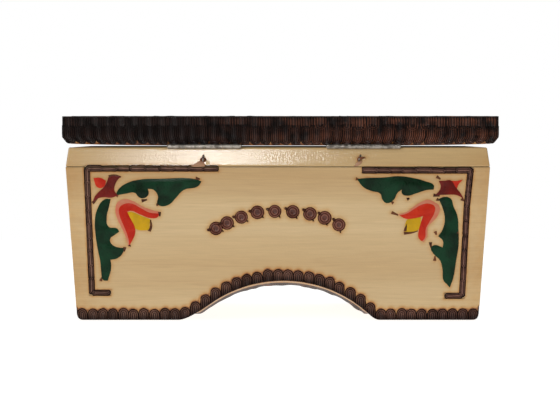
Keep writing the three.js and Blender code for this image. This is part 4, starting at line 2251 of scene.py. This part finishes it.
class KeepsakeBox:
    """The whole box: the case with its rims, the lid, the hinges and the work on each face."""

    def __init__(self) -> None:
        """Measures the frame and lays out the faces."""
        self.case = Case()
        self.lid = Lid()
        self.faces = [self.long_face("back", 11), self.long_face("front", 23)]
        self.faces += [self.short_face("left", 31), self.short_face("right", 43)]
        self.faces.append(self.lid_face())
        self.torn_spots = self.tear_rim()
        self.edges = [
            self.lid.burn_edge(side, outward, 70 + seed)
            for seed, (side, outward) in enumerate(Case.SIDES.items())
        ]

    def long_face(self, side: str, seed: int) -> DecoratedFace:
        """Works the back or the front.

        Args:
            side: Which one.
            seed: Chooses the run of unsteadiness.

        Returns:
            The decorated face.
        """
        board = self.case.walls[side]
        work = DecoratedFace(side, board.face, Body.BOX, seed)
        work.add_scallops(board.half, board.edge, board.flare)
        for label, line in bars_of_long_wall().items():
            work.add_bar(label, line)
        arc_centre, arc_radii = (1.5, -8.5), (59, 59)
        left_corner, right_corner = (-86.0, 68.5), (86.8, 67.6)
        work.add_rings(arc_centre, arc_radii, RING_ANGLES)
        work.add_spray(LEFT_SPRAY, board.face.patch(*left_corner))
        work.add_spray(RIGHT_SPRAY, board.face.patch(*right_corner))
        return work

    def short_face(self, side: str, seed: int) -> DecoratedFace:
        """Works the left or right end, across the ends of the long boards.

        Args:
            side: Which one.
            seed: Chooses the run of unsteadiness.

        Returns:
            The decorated face.
        """
        board = self.case.walls[side]
        back = self.case.walls["back"]
        half = -back.face.foot.y
        work = DecoratedFace(side, board.face, Body.BOX, seed)
        work.add_scallops(half, board.edge, back.flare)
        bar = ((-43, 12.5), (-50.6, 12.5), (-52.4, 68.6), (-20, 68.6))
        work.add_bar("left", bar)
        work.add_bar("right", [(-u, v) for u, v in reversed(bar)])
        arc_centre, arc_radii = (0, 4), (40, 40)
        work.add_rings(arc_centre, arc_radii, (-18, -9, 0, 9, 18))
        corner_u, corner_v = 50.6, 66.6
        small_u, small_v = 0.6, 0.82
        work.add_spray(LEFT_SPRAY, board.face.patch(-corner_u, corner_v, small_u, small_v))
        work.add_spray(RIGHT_SPRAY, board.face.patch(corner_u, corner_v, small_u, small_v))
        return work

    def lid_face(self) -> DecoratedFace:
        """Works the top of the lid.

        Returns:
            The decorated face.
        """
        lid = self.lid
        top = Face(Z_AXIS * lid.top, X_AXIS, Y_AXIS)
        work = DecoratedFace("lid_top", top, Body.LID, 57)
        margin, long_inset, short_inset = 0.32, 0.3, 5.2
        for side, outward in Case.SIDES.items():
            long = side in ("back", "front")
            half = lid.half_x - long_inset if long else lid.half_y - short_inset
            pockets = Pockets(f"lid_top_{side}_pockets", lid.top_face(outward))
            name = f"lid_top_{side}_scallops"
            band = ScallopBand(name, pockets, half, lambda u: margin, 60, unevenness=0.26)
            work.burned.append(band.burn())
        corner_u, corner_v = 88.0, 51.5
        long_u, long_v = 1.12, 0.86
        for flip in (1, -1):
            inner_u, outer_u = -corner_u + 56, -corner_u - 1
            inner_v, outer_v = flip * 8.0, flip * (corner_v + 1.2)
            line_left = ((inner_u, outer_v), (outer_u, outer_v), (outer_u, inner_v))
            line_right = tuple((-u, v) for u, v in line_left)
            label = "far" if flip > 0 else "near"
            work.add_bar(f"left_{label}", line_left)
            work.add_bar(f"right_{label}", line_right)
            left = top.patch(-corner_u, flip * corner_v, long_u, flip * long_v)
            right = top.patch(corner_u, flip * corner_v, long_u, flip * long_v)
            work.add_spray(LEFT_SPRAY, left)
            work.add_spray(RIGHT_SPRAY, right)
        ring_count, oval_radii, rosette_size = 24, (37, 22.5), 0.95
        work.add_rings((0, 0), oval_radii, [360 * i / ring_count for i in range(ring_count)])
        work.add_spray(ROSETTE, top.patch(0, 0, rosette_size, rosette_size))
        return work

    def tear_rim(self) -> list[TornSpot]:
        """Tears the back rim where two brads' tips came through.

        Returns:
            The two spots.
        """
        face = self.case.rims["back"].face
        left = TornSpot(
            "back_rim_left",
            face,
            crater=((-35.4, 3.9), (-34, 4.3), (-32.9, 3.7), (-33.1, 2.6), (-34.6, 2.3), (-35.6, 3)),
            flake=((-34.8, 3.0), (-37, 1.9), (-39.9, 0.5), (-39.2, 0.15), (-33.5, 0.15), (-33.7, 2)),
            chip=((-33, 3), (-31.5, 2.4), (-31.3, 1), (-32.5, 0.8), (-33, 1.8)),
        )
        right = TornSpot(
            "back_rim_right",
            face,
            crater=((36.4, 3.8), (37.5, 4.5), (40.2, 4.3), (39, 3.6), (37.9, 2.9), (36.5, 2.6)),
            flake=((36.5, 2.3), (35.6, 1.2), (35, 0.2), (36.2, 0.15), (38.4, 1.9), (38.6, 2.8)),
            chip=((38.3, 3.1), (39.6, 3.8), (40.4, 3.7), (39.2, 2.9)),
        )
        for spot in (left, right):
            spot.warm()
        return [left, right]

    def build_boards(self, finishes: Finishes) -> None:
        """Builds the boards, sinks their pockets and dresses them.

        Args:
            finishes: What to dress them in.
        """
        case = self.case
        wall_rounding, rim_rounding, lid_rounding = 0.5, 0.6, 0.4
        sawn = {}
        for side in Case.SIDES:
            sawn[side] = (case.walls[side].mesh(), case.rims[side].mesh())
        for side, (wall, rim) in sawn.items():
            long = side in ("back", "front")
            wall_finish = finishes.long_wall if long else finishes.short_wall
            rim_finish = finishes.long_rim if long else finishes.short_rim
            board, strip = f"{side}_board", f"{side}_strip"
            wall_name, rim_name = f"{side}_wall", f"{side}_rim"
            made = worked(wall, wall_rounding)
            add_piece(board, made, wall_finish, Body.BOX, [wall_name])
            made = worked(rim, rim_rounding)
            add_piece(strip, made, rim_finish, Body.BOX, [rim_name])
        made = worked(self.lid.mesh(), lid_rounding)
        add_piece("lid_core", made, finishes.lid, Body.LID, ["lid_board"])
        Pockets.remove_all()

    def build_work(self, finishes: Finishes) -> None:
        """Dresses the burned and painted work, the lid's edge, the torn spots and the glue.

        Args:
            finishes: What to dress them in.
        """
        for work in self.faces:
            work.dress(finishes)
        for edge in self.edges:
            add_piece(edge.name, edge, finishes.lid_edge, Body.LID)
        for spot in self.torn_spots:
            flake, chip = spot.meshes()
            add_piece(flake.name, flake, finishes.torn, Body.BOX)
            add_piece(chip.name, chip, finishes.floor, Body.BOX)
            # The crater is not cut: a dark oval paints its shade.
            hole_shade = spot.painted_hole_shade()
            add_piece(hole_shade.name, hole_shade, finishes.drawn, Body.BOX)
        glue = glue_line(self.case)
        add_piece("glue_line", glue, finishes.glue, Body.BOX)

    def dress_frame(self, finishes: Finishes) -> None:
        """Dresses the nodes that stay: the floor board, the hinges, the pins and the brads.

        Args:
            finishes: What to dress them in.
        """
        for name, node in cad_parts.items():
            if name == "floor_board":
                material = finishes.floor
            elif name.endswith("leaf"):
                material = finishes.plate
            elif "nail" in name or name.endswith("pin"):
                material = finishes.steel
            else:
                continue
            node.data.materials.clear()
            node.data.materials.append(material)
            log.info("%s: dressed as %s", name, material.name)


def main() -> None:
    """Builds the studio and the box."""
    studio = Studio()
    studio.place_camera()
    finishes = Finishes()
    box = KeepsakeBox()
    box.build_boards(finishes)
    box.build_work(finishes)
    box.dress_frame(finishes)
    studio.lay_floor()
    studio.light_the_room()


if __name__ == "__main__":
    main()
